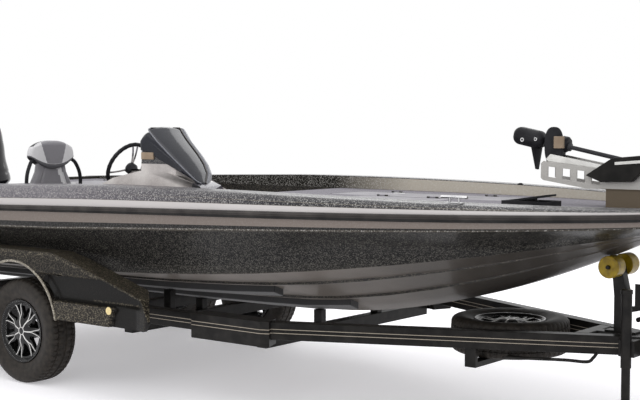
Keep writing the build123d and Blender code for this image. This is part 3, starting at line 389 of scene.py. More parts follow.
def capGelcoat(values):
    # the deck cap's gelcoat: from the joint up a dark band, the pewter stripe, the pale stripe and grey flake
    # that turns dark forward, with two fine light lines; the inner wall is dark aft and pale forward
    material, add, shader = newMaterial("capFlakeGelcoat", (0.05, 0.42, 0.25, 0.08, 0.12))
    band = add("Attribute", attribute_name="band").outputs["Fac"]
    scaled = add("Math", [band, 0.1], operation="MULTIPLY")
    ramp = add("ValToRGB", [scaled], [(place / 10, values[key]) for place, key, level in values["bands"]])
    ramp.color_ramp.interpolation = "CONSTANT"
    x = add("SeparateXYZ", [add("TexCoord").outputs["Object"]])
    aft = add("MapRange", [x, 0.9, -0.9])
    outer = add("Math", [band, 4.1], operation="GREATER_THAN")
    below = add("Math", [band, 5.99], operation="LESS_THAN")
    only = add("Math", [outer, below], operation="MULTIPLY")
    share = add("Math", [aft, only], operation="MULTIPLY")
    grey = add("Mix", {0: share, 6: ramp, 7: values["flakeGrey"]}, data_type="RGBA")
    cabin = add("MapRange", [x, -0.35, 0.35])
    inside = add("Math", [band, 5.995], operation="GREATER_THAN")
    dim = add("MapRange", [cabin, 0.0, 1.0, 1.0, 0.0])
    dim = add("Math", [dim, inside], operation="MULTIPLY")
    grey = add("Mix", {0: dim, 6: grey, 7: values["wall"]}, data_type="RGBA")
    speckled = add("ValToRGB", [scaled], [(place / 10, (level, level, level, 1))
                                          for place, key, level in values["bands"] if level])
    speckled.color_ramp.interpolation = "CONSTANT"
    flakeIn(add, shader, grey, values["flakeMm"], values["sparkle"], values["flake"], speckled)
    return material


def fenderEnamel(values):
    # sprayed metal-flake enamel on steel: the attribute gives three zones: the hollow below the fold, dark and
    # with little flake as painted shade; the flaked face; and the lightest zone with the most flake, which is
    # painted highlight along the top edge and the fold, and speckle on the top and the step block
    material, add, shader = newMaterial("fenderFlakeEnamel", (0.1, 0.4, 0.12, 0.06, 0.08))
    zone = add("Attribute", attribute_name="zone").outputs["Fac"]
    half = add("Math", [zone, 0.5], operation="MULTIPLY")
    colour = add("ValToRGB", [half], [(place, values[key]) for place, key in values["bands"]])
    # more flake as the zone rises: least in the hollow as painted shade, most along the top edge and fold as
    # painted highlight
    level = add("MapRange", [zone, 0.0, 2.0, 0.03, 0.85])
    flakeIn(add, shader, colour, values["flakeMm"], values["sparkle"], values["flake"], level)
    return material


def consoleGelcoat(values):
    # cloudy silver gelcoat on the moulding, its nose grey, its dash hood above the shoulder in black vinyl
    material, add, shader = newMaterial("consoleSilverGelcoat", (0.15, 0.36, 0.3, 0.06, 0.25))
    place = add("TexCoord").outputs["Object"]
    parts = add("SeparateXYZ", [place]).outputs
    hood = add("Math", [parts["Z"], values["hoodFrom"]], operation="GREATER_THAN")
    cloud = add("TexNoise", {"Scale": 7.0, "Detail": 3.0, "Vector": place})
    silver = add("ValToRGB", [cloud], [(0.35, values["dull"]), (0.7, values["silver"])])
    both = add("Mix", {0: hood, 6: silver, 7: values["hood"]}, data_type="RGBA")
    nose = add("Math", [parts["X"], values["noseFrom"]], operation="GREATER_THAN")
    both = add("Mix", {0: nose, 6: both, 7: values["nose"]}, data_type="RGBA")
    flakeIn(add, shader, both, values["flakeMm"], values["sparkle"], values["flake"])
    return material


def byPlace(name, base, other, grainMm, low, high, roughness, metallic=0.0):
    # two finishes of one solid, the other one inside a box given by two corners in metres, over a fine grain
    material, add, shader = newMaterial(name, (metallic, roughness, 0.0, 0.03, 0.3))
    place = add("TexCoord").outputs["Object"]
    parts = add("SeparateXYZ", [place]).outputs
    inside = None
    for axis, (start, end) in enumerate(zip(low, high)):
        near = add("Math", [parts[axis], (start + end) / 2, (end - start) / 2], operation="COMPARE")
        inside = add("Math", [inside, near], operation="MULTIPLY") if inside else near
    grain = add("TexNoise", {"Scale": 1000 / grainMm, "Detail": 3.0, "Vector": place})
    shade = add("MapRange", [grain, 0.3, 0.7, 0.88, 1.08])
    mixed = add("Mix", {0: inside, 6: base, 7: other}, data_type="RGBA")
    tinted = add("Mix", {0: 1.0, 6: mixed, 7: shade}, data_type="RGBA", blend_type="MULTIPLY")
    bump = add("Bump", {"Strength": 0.4, "Distance": 0.0003, "Height": grain})
    setInputs(shader, {"Base Color": tinted, "Normal": bump})
    return material


def carpet(name, dark, light, pileMm=5.0):
    # cut-pile marine carpet, glued down: matt, mottled, the pile drawn coarser than its real 2 mm
    material, add, shader = newMaterial(name, (0.0, 0.95), {"Sheen Weight": 0.3, "Sheen Roughness": 0.6})
    place = add("TexCoord").outputs["Object"]
    pile = add("TexNoise", {"Scale": 1000 / pileMm, "Detail": 2.0, "Vector": place})
    worn = add("TexNoise", {"Scale": 5.0, "Detail": 3.0, "Vector": place})
    both = add("Math", [pile, worn], operation="MULTIPLY")
    twoTone(add, shader, both, [(0.14, dark), (0.36, light)], pile, 0.6, 0.002)
    return material


def linerShell(values):
    # the moulded liner: carpet on what lies flat at deck or sole height, dark flake gelcoat on every wall
    material, add, shader = newMaterial("linerGelcoatAndCarpet", (0.0, 0.5, 0.0, 0.03, 0.3))
    coordinates = add("TexCoord").outputs
    place = coordinates["Object"]
    height = add("SeparateXYZ", [place]).outputs["Z"]
    facing = add("SeparateXYZ", [coordinates["Normal"]]).outputs["Z"]
    flat = add("Math", [facing, 0.95], operation="GREATER_THAN")
    deck, sole = (add("Math", [height, *values[key]], operation="COMPARE") for key in ("deck", "sole"))
    level = add("Math", [deck, sole], operation="MAXIMUM")
    soft = add("Math", [flat, level], operation="MULTIPLY")
    pile = add("TexNoise", {"Scale": 1000 / values["pileMm"], "Detail": 2.0, "Vector": place})
    cloth = add("ValToRGB", [pile], [(0.35, values["dark"]), (0.62, values["light"])])
    cells = add("TexVoronoi", {"Scale": values["flakeScale"], "Vector": place})
    parts = add("SeparateColor", [cells.outputs["Color"]])
    flake = add("ValToRGB", [parts], [(0.6, values["wall"]), (1.0, values["flake"])])
    mixed = add("Mix", {0: soft, 6: flake, 7: cloth}, data_type="RGBA")
    rough = add("MapRange", [soft, 0.0, 1.0, 0.35, 0.95])
    bump = add("Bump", {"Strength": 0.5, "Distance": 0.0015, "Height": pile})
    setInputs(shader, {"Base Color": mixed, "Roughness": rough, "Normal": bump})
    return material


def moulded(name, base, worn, roughness, grainMm=2.0, depth=0.00025, metallic=0.0, coat=0.0, level=0.12):
    # a moulded or cast surface: fine grain and a little change of shade over a hand's breadth
    material, add, shader = newMaterial(name, (metallic, 0.5, coat, 0.08, level))
    place = add("TexCoord").outputs["Object"]
    grain = add("TexNoise", {"Scale": 1000 / grainMm, "Detail": 3.0, "Vector": place})
    cloud = add("TexNoise", {"Scale": 9.0, "Detail": 4.0, "Vector": place})
    rough = add("MapRange", [grain, 0.0, 1.0, roughness - 0.06, roughness + 0.08])
    setInputs(shader, {"Roughness": rough})
    twoTone(add, shader, cloud, [(0.35, base), (0.75, worn)], grain, 0.5, depth)
    return material


def railEnamel(name, lines, half=0.0016):
    # gloss enamel on steel tube, black and dusty, with fine taped lines at given heights on the upright faces
    material, add, shader = newMaterial(name, (0.0, 0.4, 0.08, 0.12, 0.1))
    coordinates = add("TexCoord").outputs
    facing = add("SeparateXYZ", [coordinates["Normal"]]).outputs["Z"]
    height = add("SeparateXYZ", [coordinates["Object"]]).outputs["Z"]
    dust = add("TexNoise", {"Scale": 14.0, "Detail": 5.0, "Vector": coordinates["Object"]})
    enamel = add("ValToRGB", [dust], [(0.4, "#121110"), (0.8, "#262422")])
    steep = add("Math", [facing], operation="ABSOLUTE")
    side = add("Math", [steep, 0.3], operation="LESS_THAN")
    found = None
    for line in lines:
        near = add("Math", [height, line, half], operation="COMPARE")
        found = add("Math", [found, near], operation="MAXIMUM") if found else near
    share = add("Math", [found, side], operation="MULTIPLY")
    setInputs(shader, {"Base Color": add("Mix", {0: share, 6: enamel, 7: "#a39a8c"}, data_type="RGBA")})
    return material


def tyreRubber():
    # moulded tyre rubber: near black, dull, paler and a little dusty in patches
    material, add, shader = newMaterial("tyreRubber", (0.0, 0.55, 0.0, 0.03, 0.2))
    dust = add("TexNoise", {"Scale": 30.0, "Detail": 5.0, "Vector": add("TexCoord").outputs["Object"]})
    twoTone(add, shader, dust, [(0.35, "#1d1a17"), (0.75, "#332e29")], dust, 0.3, 0.0006)
    return material


def smokedAcrylic():
    # smoked acrylic sheet, thermoformed: dark, clear and glossy, the far side faint behind it
    return newMaterial("smokedAcrylic", (0.0, 0.08, 0.0, 0.03, 0.12), {"Base Color": "#24262f", "IOR": 1.49,
                                                                      "Transmission Weight": 0.4})[0]


def amberUrethane():
    # cast amber urethane: waxy, a little light passes into it
    soft = {"Subsurface Weight": 0.2, "Subsurface Scale": 0.02, "Subsurface Radius": (1.0, 0.6, 0.15),
            "IOR": 1.5}
    material, add, shader = newMaterial("amberUrethane", (0.0, 0.35, 0.12, 0.03, 0.2), soft)
    cloud = add("TexNoise", {"Scale": 22.0, "Detail": 3.0, "Vector": add("TexCoord").outputs["Object"]})
    twoTone(add, shader, cloud, [(0.3, "#5e4a08"), (0.75, "#9c8412")])
    return material


def sewnVinyl():
    # marine vinyl on foam, sewn in panels: soft gloss, fine grain, the attribute gives the panels' colours
    material, add, shader = newMaterial("sewnVinyl", (0.0, 0.42, 0.1), {"Sheen Weight": 0.15})
    panel = add("Attribute", attribute_name="panel").outputs["Fac"]
    scaled = add("Math", [panel, 0.25], operation="MULTIPLY")
    ramp = add("ValToRGB", [scaled], [(0.0, "#77757a"), (0.125, "#c9c8ca"), (0.49, "#232226"),
                                      (0.74, "#4c4b50")])
    ramp.color_ramp.interpolation = "CONSTANT"
    grain = add("TexVoronoi", {"Scale": 480.0, "Vector": add("TexCoord").outputs["Object"]})
    shade = add("MapRange", [grain, 0.0, 1.0, 1.05, 0.85])
    mixed = add("Mix", {0: 1.0, 6: ramp, 7: shade}, data_type="RGBA", blend_type="MULTIPLY")
    bump = add("Bump", {"Strength": 0.4, "Distance": 0.0005, "Height": grain})
    setInputs(shader, {"Base Color": mixed, "Normal": bump})
    return material


def webbing():
    # woven polyester strap: ribs across it, dull
    material, add, shader = newMaterial("polyesterWebbing", (0.0, 0.8), {"Sheen Weight": 0.3})
    ribs = add("TexWave", {"Scale": 90.0, "Distortion": 0.6, "Vector": add("TexCoord").outputs["Object"]},
               bands_direction="Z").outputs["Fac"]
    twoTone(add, shader, ribs, [(0.2, "#4a3c2c"), (0.8, "#8a7152")])
    return material


# half the girth where each band of the hull starts
hullColours = {"bands": ((0.0, "bottom"), (0.497, "line"), (0.506, "foot"), (0.60, "side"), (0.985, "line")),
               "bottom": "#7a736c", "line": "#3d3934", "foot": "#1b1a18", "side": "#0b0b0c",
               "flake": "#8c887f", "flakeMm": 4.5, "sparkle": 0.36}
# the band number where each colour of the cap starts, and the level of its flake where that changes
capColours = {
    "bands": ((0.0, "line", 1.0), (0.22, "dark", 0.12), (1.0, "pewter", 0.10), (2.0, "shadow", 0.10),
              (3.0, "pale", 0.10), (4.0, "line", 0.2), (4.10, "flakeDark", 0.8), (4.55, "line", None),
              (4.63, "flakeDark", None), (5.0, "top", None), (6.0, "inner", 1.0)),
    "line": "#4f4a43", "dark": "#131211", "pewter": "#6e655f", "shadow": "#181817", "pale": "#b5b1b0",
    "flakeDark": "#242328", "top": "#222126", "inner": "#bdb6a9", "flakeGrey": "#5f5c62", "flake": "#d0cdc8",
    "flakeMm": 5.0, "sparkle": 0.55, "wall": "#1d1b16",
}
# the hollow's colour is painted shade; the lightest is painted highlight along the top edge and fold, and speckle
# on the top and step block
fenderColours = {"bands": ((0.0, "smooth"), (0.5, "flaked"), (1.0, "coarse")), "smooth": "#0f0e0d",
                 "flaked": "#151311", "coarse": "#211e1a", "flake": "#7d7564", "flakeMm": 5.0, "sparkle": 0.9}
# the hood starts at a height, the nose at a distance forward, both in metres
consoleColours = {"hoodFrom": 1.452, "noseFrom": 0.045, "dull": "#a39c9a", "silver": "#c4bfbc",
                  "hood": "#26262b", "nose": "#55545c", "flake": "#e6e2dc", "flakeMm": 3.0, "sparkle": 0.25}
# heights of deck and sole, each with its tolerance, in metres
linerColours = {"deck": (1.228, 0.003), "sole": (0.860, 0.012), "pileMm": 5.0, "flakeScale": 240.0,
                "dark": "#68656c", "light": "#8f8c93", "wall": "#141312", "flake": "#5f5950"}
# material, base, worn, roughness, grain in mm, its depth in metres, metallic, coat
mouldedColours = {
    "rubRail": ("extrudedVinyl", "#2b2827", "#423e3c", 0.35, 3.0, 0.0003, 0.0, 0.15),
    "plastic": ("mouldedBlackNylon", "#17171a", "#2b2b2e", 0.42, 1.6, 0.0002),
    "matt": ("mattBlackRubber", "#1b1b1c", "#2d2c2b", 0.7, 2.5, 0.0005),
    "motor": ("motorSatinEnamel", "#141416", "#26262a", 0.36, 4.0, 0.00015, 0.1, 0.2),
    "cowl": ("cowlGlossEnamel", "#0c0c0e", "#1b1b1f", 0.2, 6.0, 0.00008, 0.0, 0.5),
    "aluminium": ("anodisedAluminium", "#b8b7b4", "#d6d5d2", 0.32, 1.2, 0.00008, 0.85),
    "steel": ("polishedStainless", "#b0b0b2", "#cfcfcf", 0.14, 3.0, 0.00005, 1.0),
    "rimPaint": ("castWheelBlackEnamel", "#0b0b0b", "#161616", 0.3, 5.0, 0.0001, 0.0, 0.3),
    "machined": ("turnedAluminium", "#c4c3c0", "#e4e3e0", 0.3, 0.8, 0.00004, 0.6),
    "shaft": ("compositeShaft", "#37373a", "#4b4b4e", 0.34, 2.0, 0.0001),
    "dashTan": ("tanVinyl", "#8b7a68", "#a3927f", 0.5, 2.0, 0.0003),
    "white": ("whiteNylon", "#cfcfcf", "#e4e4e4", 0.4, 2.0, 0.0002),
}
paint = {key: moulded(*row) for key, row in mouldedColours.items()} | {
    "side": sidesGelcoat(hullColours),
    "cap": capGelcoat(capColours),
    "liner": linerShell(linerColours),
    "carpet": carpet("deckCutPileCarpet", "#68656c", "#908d94"),
    "bunkCarpet": carpet("bunkCutPileCarpet", "#0f0f10", "#1e1e20"),
    "console": consoleGelcoat(consoleColours),
    "fender": fenderEnamel(fenderColours),
    "lip": flakeGelcoat("lipFlakePaint", "#6d675c", "#c9c2b0", 5.0, 0.7, 0.2, 0.4, 0.3),
    "rail": railEnamel("railGlossEnamel", (0.517, 0.495)),
    "enamel": railEnamel("fittingGlossEnamel", (5.0,), 0.001),
    "acrylic": smokedAcrylic(),
    "screenRail": flakeGelcoat("railGreyGelcoat", "#5f6067", "#9a9ca3", 3.0, 0.3, 0.1, 0.4, 0.2),
    "amber": amberUrethane(),
    "vinyl": sewnVinyl(),
    "tyre": tyreRubber(),
    "webbing": webbing(),
    "trollingBase": byPlace("anodisedRailAndTanCradle", "#b3b1ad", "#64594a", 3.0, (2.19, 0.0, 1.0),
                            (2.56, 0.5, 1.3335), 0.42, 0.25),
    "lenses": byPlace("redAndAmberLenses", "#7d120d", "#d8c48e", 8.0, (-1.0, -2.0, 0.0), (0.0, 2.0, 1.0),
                      0.15),
}
print("materials made")


# Hull and cap: the outer surfaces follow the same curves as the solids, a little outside them
hullForm = {
    "stern": -3.150, "bow": 2.860, "rows": 150, "proud": 0.0022, "bulge": 0.007, "sheer": 1.205,
    "wallIn": 0.215, "deck": 1.228, "recess": (-2.990, 2.660), "railHalf": 0.020, "inset": 0.005,
    # the bottom from keel to chine: share of the breadth, drop in strakes
    "bottom": ((0, 0), (0.1, 0), (0.24, 0), (0.38, 0), (0.388, 1), (0.422, 1), (0.43, 0.2), (0.55, 0),
               (0.68, 0), (0.688, 1), (0.722, 1), (0.73, 0.2), (0.84, 0), (0.94, 0), (1.0, 0.4)),
    # the rub rail's section in mm outwards and up, and the dark strip of painted shade over its lower half
    "rail": ((-8, -19.5), (6, -19.5), (11, -17), (13.5, -12), (13.5, -6), (10.5, -3.5), (10.5, 3.5), (13.5, 6),
             (13.5, 12), (11, 17), (6, 19.5), (-8, 19.5)),
    "shadeStrip": ((5, -19.8), (11.4, -17.2), (14.0, -12.0), (14.0, -5.6), (5, -4.0)),
}


def shareOf(x, a, b):
    # how far x has come from a to b, from 0 to 1
    return np.clip((x - a) / (b - a), 0, 1)


def hullLines(x):
    # half-breadths and heights of sheer, crease, chine, keel and gunwale at each station: a base and powers
    # of the way to the bow, which start at the stern or at a station of their own
    stern, bow = hullForm["stern"], hullForm["bow"]
    line = {"sheerY": hullForm["sheer"] * (1 - shareOf(x, -0.35, bow) ** 3.2) ** 0.588}
    line["sheerZ"] = 1.2205 - 0.125 * (1 - shareOf(x, stern, bow)) ** 1.6
    line["creaseZ"] = line["sheerZ"] - 0.050 - 0.075 * (1 - shareOf(x, -1.0, bow))
    line["gunwaleZ"] = line["sheerZ"] + 0.150 - 0.120 * shareOf(x, -0.7, bow) ** 1.3
    line["chineY"] = np.maximum(1.030 * (1 - shareOf(x, -0.65, bow) ** 2.6) ** 0.87, 0.012)
    line["chineZ"] = 0.740 + 0.122 * shareOf(x, stern, bow) + 0.300 * shareOf(x, -0.7, bow) ** 1.75
    line["keelZ"] = np.minimum(0.520 + 0.702 * shareOf(x, 0.45, bow) ** 1.755, line["chineZ"] - 0.008)
    return line


def stations(stern, bow, rows, power=1.6):
    # stations from stern to bow, drawn together towards the bow
    return bow - (bow - stern) * np.linspace(1, 0, rows) ** power


def hullSkin(values, material):
    # keel to crease: flat pad, straight bottom with two strakes that step down, hollow side above the chine
    x = stations(values["stern"], values["bow"], values["rows"])
    line = hullLines(x)
    sheerY, creaseZ, chineY, chineZ, keel = (line[key][:, None] for key in ("sheerY", "creaseZ", "chineY",
                                                                           "chineZ", "keelZ"))
    rise = chineZ - keel
    parts, drops = np.array(values["bottom"]).T
    share = np.where(parts == 1.0, 0.94, parts)
    bottomZ = keel + rise * np.maximum(share - 0.1, 0) / 0.9 - np.minimum(0.012, 0.05 * rise) * drops
    t = np.linspace(0, 1, 22)[1:]
    sideY = chineY + (sheerY - 0.003 - chineY) * (0.52 * t + 0.48 * t ** 2)
    sideY = sideY + values["bulge"] * (1 - (2 * t - 1) ** 4)
    sideZ = bottomZ[:, -1:] + (creaseZ - bottomZ[:, -1:]) * t
    proud = values["proud"]
    outY = np.concatenate([chineY * parts, sideY], 1) + proud * np.concatenate([parts ** 0.5, 1 + 0 * t])
    outZ = np.concatenate([bottomZ, sideZ], 1)
    outZ = outZ - proud * np.concatenate([1 + 0 * parts, (1 - t) ** 4])
    outY[:, 0] = 0
    half = spread(x[:, None], outY, outZ)
    girth = np.concatenate([parts, 1 + t])
    points = np.concatenate([half[:, ::-1], (half * (1, -1, 1))[:, 1:]], 1)
    girth = np.concatenate([girth[::-1], girth[1:]])
    rim = points[:1] * (1, 0.985, 1) + (0, 0, 0.006)        # turned in at the stern
    mesh = gridMesh(np.concatenate([rim, points]), girth=girth)
    finishPiece("hull_skin", mesh, material, angle=22)


def capSkin(values, material):
    # crease up past the rub rail, round the gunwale's quarter ellipse, in over its top and down to the deck
    stern, bow = values["recess"]
    x = stations(values["stern"], values["bow"], values["rows"])
    x = np.sort(np.concatenate([x, [bow - 1e-5, bow + 1e-5]]))
    line = hullLines(x)
    y, z, drop = line["sheerY"], line["sheerZ"], line["sheerZ"] - line["creaseZ"]
    half = values["railHalf"]
    h = line["gunwaleZ"] - z
    narrow = np.minimum(1, y / 0.400)
    stripe = 0.55 * drop + 0.016
    inset, height, band = [], [], []
    foot = np.minimum(0.008, 0.45 * (drop - stripe)) - drop
    for rise, part in ((-drop, 0.0), (foot, 0.22), (-stripe, 1.0), (-0.5 * (stripe + half), 1.5),
                       (-half + 0 * z, 2.0), (half + 0 * z, 3.0)):
        inset.append(values["inset"] + 0.005 * shareOf(-rise, 0.018, drop))
        height.append(rise)
        band.append(part)
    silver = (0.29 * h) / (h - half)
    second = np.maximum(0.62, silver + 0.1)
    fine = 0.0035 / (h - half)
    for u, part in ((silver * 0.5, 3.5), (silver, 4.0), (silver + fine, 4.10), ((silver + second) / 2, 4.3),
                    (second - fine, 4.55), (second, 4.63), ((second + 1) / 2, 4.8), (0.93 + 0 * z, 4.9),
                    (0.98 + 0 * z, 4.95), (1.0 + 0 * z, 5.0)):
        u = np.minimum(u, 1.0)
        inset.append(values["inset"] + 0.087 * (1 - np.sqrt(1 - u ** 2)))
        height.append(half + (h - half) * u)
        band.append(part)
    outY = y[:, None] - np.array(inset).T * narrow[:, None] + values["proud"]
    outZ = z[:, None] + np.array(height).T
    outY[narrow < 0.02] = 0
    openDeck = x < bow
    inner = (np.where(openDeck, np.maximum(y - values["wallIn"], 0), 0) - 0.006 * openDeck)[:, None]
    edge = outY[:, -1:]
    topY = edge + (inner - edge) * (0.25, 0.5, 0.75, 0.94, 1.0)
    topZ = outZ[:, -1:] + values["proud"] * np.array([0.6, 1, 1, 1, 0.2])
    down = np.linspace(0, 1, 5)[1:]
    floorZ = np.where(openDeck & (x >= stern), values["deck"] + 0.001, topZ[:, -1])
    wallZ = topZ[:, -1:] + (floorZ - topZ[:, -1])[:, None] * down
    outY = np.maximum(np.concatenate([outY, topY, inner + 0 * down], 1), 0)
    outZ = np.concatenate([outZ, topZ, wallZ], 1)
    band = np.concatenate([band, [5.2, 5.4, 5.6, 5.8, 5.99], 6.1 + 0 * down])
    sides = [gridMesh(spread(x[:, None], side * outY, outZ), band=band) for side in (1, -1)]
    finishPiece("cap_skin", joinMeshes(sides), material, angle=40)


def makeRubRail(values, material, shadeStrip):
    # a grooved half-round vinyl section carried round the sheer, its lower half covered by a dark strip of
    # painted shade
    x = stations(values["stern"] + 0.004, values["bow"], 160, 2.2)
    line = hullLines(x)
    starboard = np.stack([x, -line["sheerY"], line["sheerZ"]], 1)
    path = np.concatenate([starboard, (starboard * (1, -1, 1))[::-1][1:]])
    section, lower = (sweep(path, np.array(values[key]) / 1000) for key in ("rail", "shadeStrip"))
    finishPiece("rub_rail_section", section, material, replaced=("rub_rail",), angle=50)
    # painted shade: the dark strip over the rail's lower half
    finishPiece("rub_rail_painted_shade", lower, shadeStrip, angle=50)


hullSkin(hullForm, paint["side"])
capSkin(hullForm, paint["cap"])
makeRubRail(hullForm, paint["rubRail"], paint["matt"])
print("hull and cap made")


# Helm, screen and console
helmForm = {"centre": (-0.880, -0.610, 1.420), "axis": (-0.882948, 0, 0.469472), "radius": 0.163,
            "grip": 0.0135,
            # each spoke's angle, its half width and half thickness, how far it is dished at the hub
            "spokes": (-0.5 * math.pi - 0.13, -0.5 * math.pi + 0.13, 0.28, math.pi - 0.28),
            "bar": (0.007, 0.002),
            "dish": 0.030,
            "hub": ((0, 0.012), (0.02, 0.011), (0.036, 0.004), (0.040, -0.008), (0.040, -0.034), (0.028, -0.05),
                    (0.028, -0.10), (0, -0.10))}


def makeHelm(values, rim, metal):
    # a torus with finger swells, two pairs of flat bright spokes and a domed hub
    axis = np.array(values["axis"]) / np.linalg.norm(values["axis"])
    side = np.array([0.0, 1.0, 0.0])
    up = np.cross(axis, side)
    a = turns(96)[:, None]
    b = turns(16)[None]
    grip = values["grip"] * (1 + 0.05 * np.cos(24 * a))
    centre = np.array(values["centre"])
    reach = values["radius"] + grip * np.cos(b)
    points = centre + (reach * np.cos(a))[..., None] * side + (reach * np.sin(a))[..., None] * up \
        + (grip * np.sin(b))[..., None] * axis
    finishPiece("helm_rim", gridMesh(points, True, True), rim, "helm", ("helm_wheel",))
    flat = flatOutline(*values["bar"])
    bars = []
    for turn in values["spokes"]:
        out = math.cos(turn) * side + math.sin(turn) * up
        path = centre + np.linspace(0.02, values["radius"], 8)[:, None] * out \
            - values["dish"] * (1 - np.linspace(0, 1, 8)[:, None] ** 2) * axis
        bars.append(sweep(path, flat, up=axis))
    finishPiece("helm_spokes", joinMeshes(bars), metal, "helm")
    finishPiece("helm_hub", lathe(values["hub"], centre - 0.022 * axis, axis, 40), rim, "helm", angle=40)


makeHelm(helmForm, paint["plastic"], paint["steel"])

screenForm = {
    "foot": (0.040, 1.374), "rise": 0.691, "crown": 0.012, "thick": 0.005, "sunk": 0.006, "cheekY": -0.906,
    "cheekTop": 1.618, "cheekX": (-0.414, 0.080),
    # x, near flank, far flank of the raked pane; the far pad's outer edge; the near cheek's lower edge
    "rows": [(0.085, -0.905, -0.868), (0.060, -0.925, -0.838), (0.0, -0.928, -0.765), (-0.075, -0.928, -0.715),
             (-0.160, -0.928, -0.680), (-0.290, -0.918, -0.645), (-0.360, -0.902, -0.618),
             (-0.388, -0.888, -0.600), (-0.400, -0.855, -0.62)],
    "pad": [(0.085, -0.852), (0.060, -0.805), (0.0, -0.722), (-0.075, -0.672), (-0.160, -0.640),
            (-0.290, -0.606), (-0.360, -0.572), (-0.392, -0.560), (-0.400, -0.60)],
    "cheek": [(0.085, 1.338), (0.014, 1.372), (-0.071, 1.407), (-0.200, 1.459), (-0.331, 1.517),
              (-0.414, 1.537)],
    # the console's hood: how far aft it may reach, and from where its front is drawn back
    "hoodAft": -0.395, "nose": 0.08,
}


def along(x, table, column):
    # a column of a table that runs from bow to stern, read off at each x
    table = np.array(table)[::-1]
    return np.interp(x, table[:, 0], table[:, column])


def tuckedHood(points):
    # the dash hood drawn in behind the screen and inside its far flank, the front end drawn back
    x, y, z = points.T
    aft, nose = screenForm["hoodAft"], screenForm["nose"]
    limit = along(x, screenForm["rows"], 2) - 0.020
    inward = np.where((z > 1.335) & (y > limit), np.maximum(limit, -0.93), y)
    low = np.where((z > 1.50) & (x < -0.2), z - 0.012, z)
    back = np.where((z > 1.40) & (x < aft), aft + (x - aft) * 0.2, x)
    back = np.where(x > nose, nose + (x - nose) * 0.30, back)
    return np.stack([back, inward, low], 1)


def makeScreen(values, pane, frameFinish, padFinish):
    # a crowned raked pane between two flanks, a cheek under the near one and a padded rail along the far one
    footX, footZ = values["foot"]
    x = np.linspace(values["rows"][-1][0], values["rows"][0][0], 48)
    near, far = along(x, values["rows"], 1), along(x, values["rows"], 2)
    outer = along(x, values["pad"], 1)
    height = footZ + (footX - x) * values["rise"]
    v = np.linspace(0, 1, 24)
    crown = values["crown"] * np.minimum(1, (far - near) / 0.25)[:, None] * (1 - (2 * v - 1) ** 2)[None]
    points = spread(x[:, None] + 0.55 * crown, near[:, None] + (far - near)[:, None] * v,
                    height[:, None] + 0.8 * crown - values["sunk"])
    sheet = finishPiece("screen_pane", gridMesh(points), pane, replaced=("windscreen",), angle=60)
    # the cheek: from the pane's edge it turns out over the first 0.4 of its height, then runs straight down
    span = np.linspace(*values["cheekX"], 48)
    top = footZ + (footX - span) * values["rise"] - values["sunk"]
    corner = np.sqrt(np.clip((span - values["cheekX"][0]) / 0.06, 0, 1))
    top = np.minimum(top, values["cheekTop"] + 0.036 * corner)[:, None]
    low = np.minimum(along(span, values["cheek"], 1)[:, None], top - 0.004)
    edge = np.minimum(along(span, values["rows"], 1), values["cheekY"])[:, None]
    w = np.linspace(0, 1, 14)
    turned = np.sin(0.5 * math.pi * np.minimum(1, w / 0.4))
    out = edge + (values["cheekY"] - 0.030 - edge) * turned + 0.006 * w
    side = spread(span[:, None], out, top + (low - top) * w)
    flank = finishPiece("screen_cheek", gridMesh(side), pane, angle=60)
    for glass in (sheet, flank):
        wall = glass.modifiers.new("wall", "SOLIDIFY")
        wall.thickness = values["thick"]
        wall.offset = -1
    across = np.linspace(near[0], outer[0], 30)
    for name, line, radius, finish in (("far", spread(x, far, height - 0.004), 0.0055, frameFinish),
                                       ("near", spread(x, near, height - 0.004), 0.0045, padFinish),
                                       ("top", spread(x[0], across, height[0] - 0.004), 0.005, frameFinish)):
        finishPiece("screen_rim_" + name, sweep(line, roundOutline(radius, 8)), finish)
    # the rail: out over its rounded top, then down to the floor line
    t = np.linspace(0, 1, 8)
    reach = np.minimum(1, 1.35 * t)
    fall = np.clip((t - 0.74) / 0.26, 0, 1) ** 1.2
    floor = np.minimum(np.interp(x, (-0.40, -0.10, 0.085), (1.40, 1.335, 1.300)), height - 0.012)
    rise = height[:, None] - 0.010 + 0.010 * np.sin(math.pi * reach)
    rise = rise + (floor[:, None] - rise) * fall
    points = spread(x[:, None], far[:, None] + (outer - far)[:, None] * reach, rise)
    finishPiece("screen_rail", gridMesh(points), padFinish, angle=60)


softEdged("console", paint["console"], 0.005, 3, reshape=tuckedHood)
makeScreen(screenForm, paint["acrylic"], paint["rubRail"], paint["screenRail"])
print("helm made")


# Seats
seatForm = {
    "mids": {"driver": -0.55, "passenger": 0.55},
    "cushion": ((-1.676, -1.234), (0.302, 0.798), (1.012, 1.129)), "front": -1.702, "back": -1.797,
    # the lower back: height, half width
    "lower": ((1.131, 0.198), (1.215, 0.198), (1.262, 0.186), (1.310, 0.160), (1.360, 0.132), (1.420, 0.120)),
    # the hood: half width, heights of its top and lower edge and how far they fall and rise at the sides, and the
    # share of its height that is dark
    "hood": {"half": 0.199, "top": 1.583, "droop": 0.045, "low": 1.378, "lift": 0.088, "dark": 0.17},
    # the bent arm from under the hood down to the fold pin: x, distance from the middle, z
    "arm": ((-1.735, 0.168, 1.455), (-1.722, 0.205, 1.420), (-1.716, 0.238, 1.345), (-1.716, 0.244, 1.26),
            (-1.722, 0.226, 1.19), (-1.726, 0.203, 1.165)),
}


def bell(value, width):
    # a smooth hump of height 1 round zero
    return np.exp(-(value / width) ** 2)


def makePad(name, points, panel, material, body, replaced):
    # a closed pad: the panel numbers are carried to its two poles
    panel = np.concatenate([panel[:1], panel, panel[-1:]])
    piece = finishPiece(name, gridMesh(closeEnds(points), wrapV=True, panel=panel), material, body, replaced,
                        angle=60)


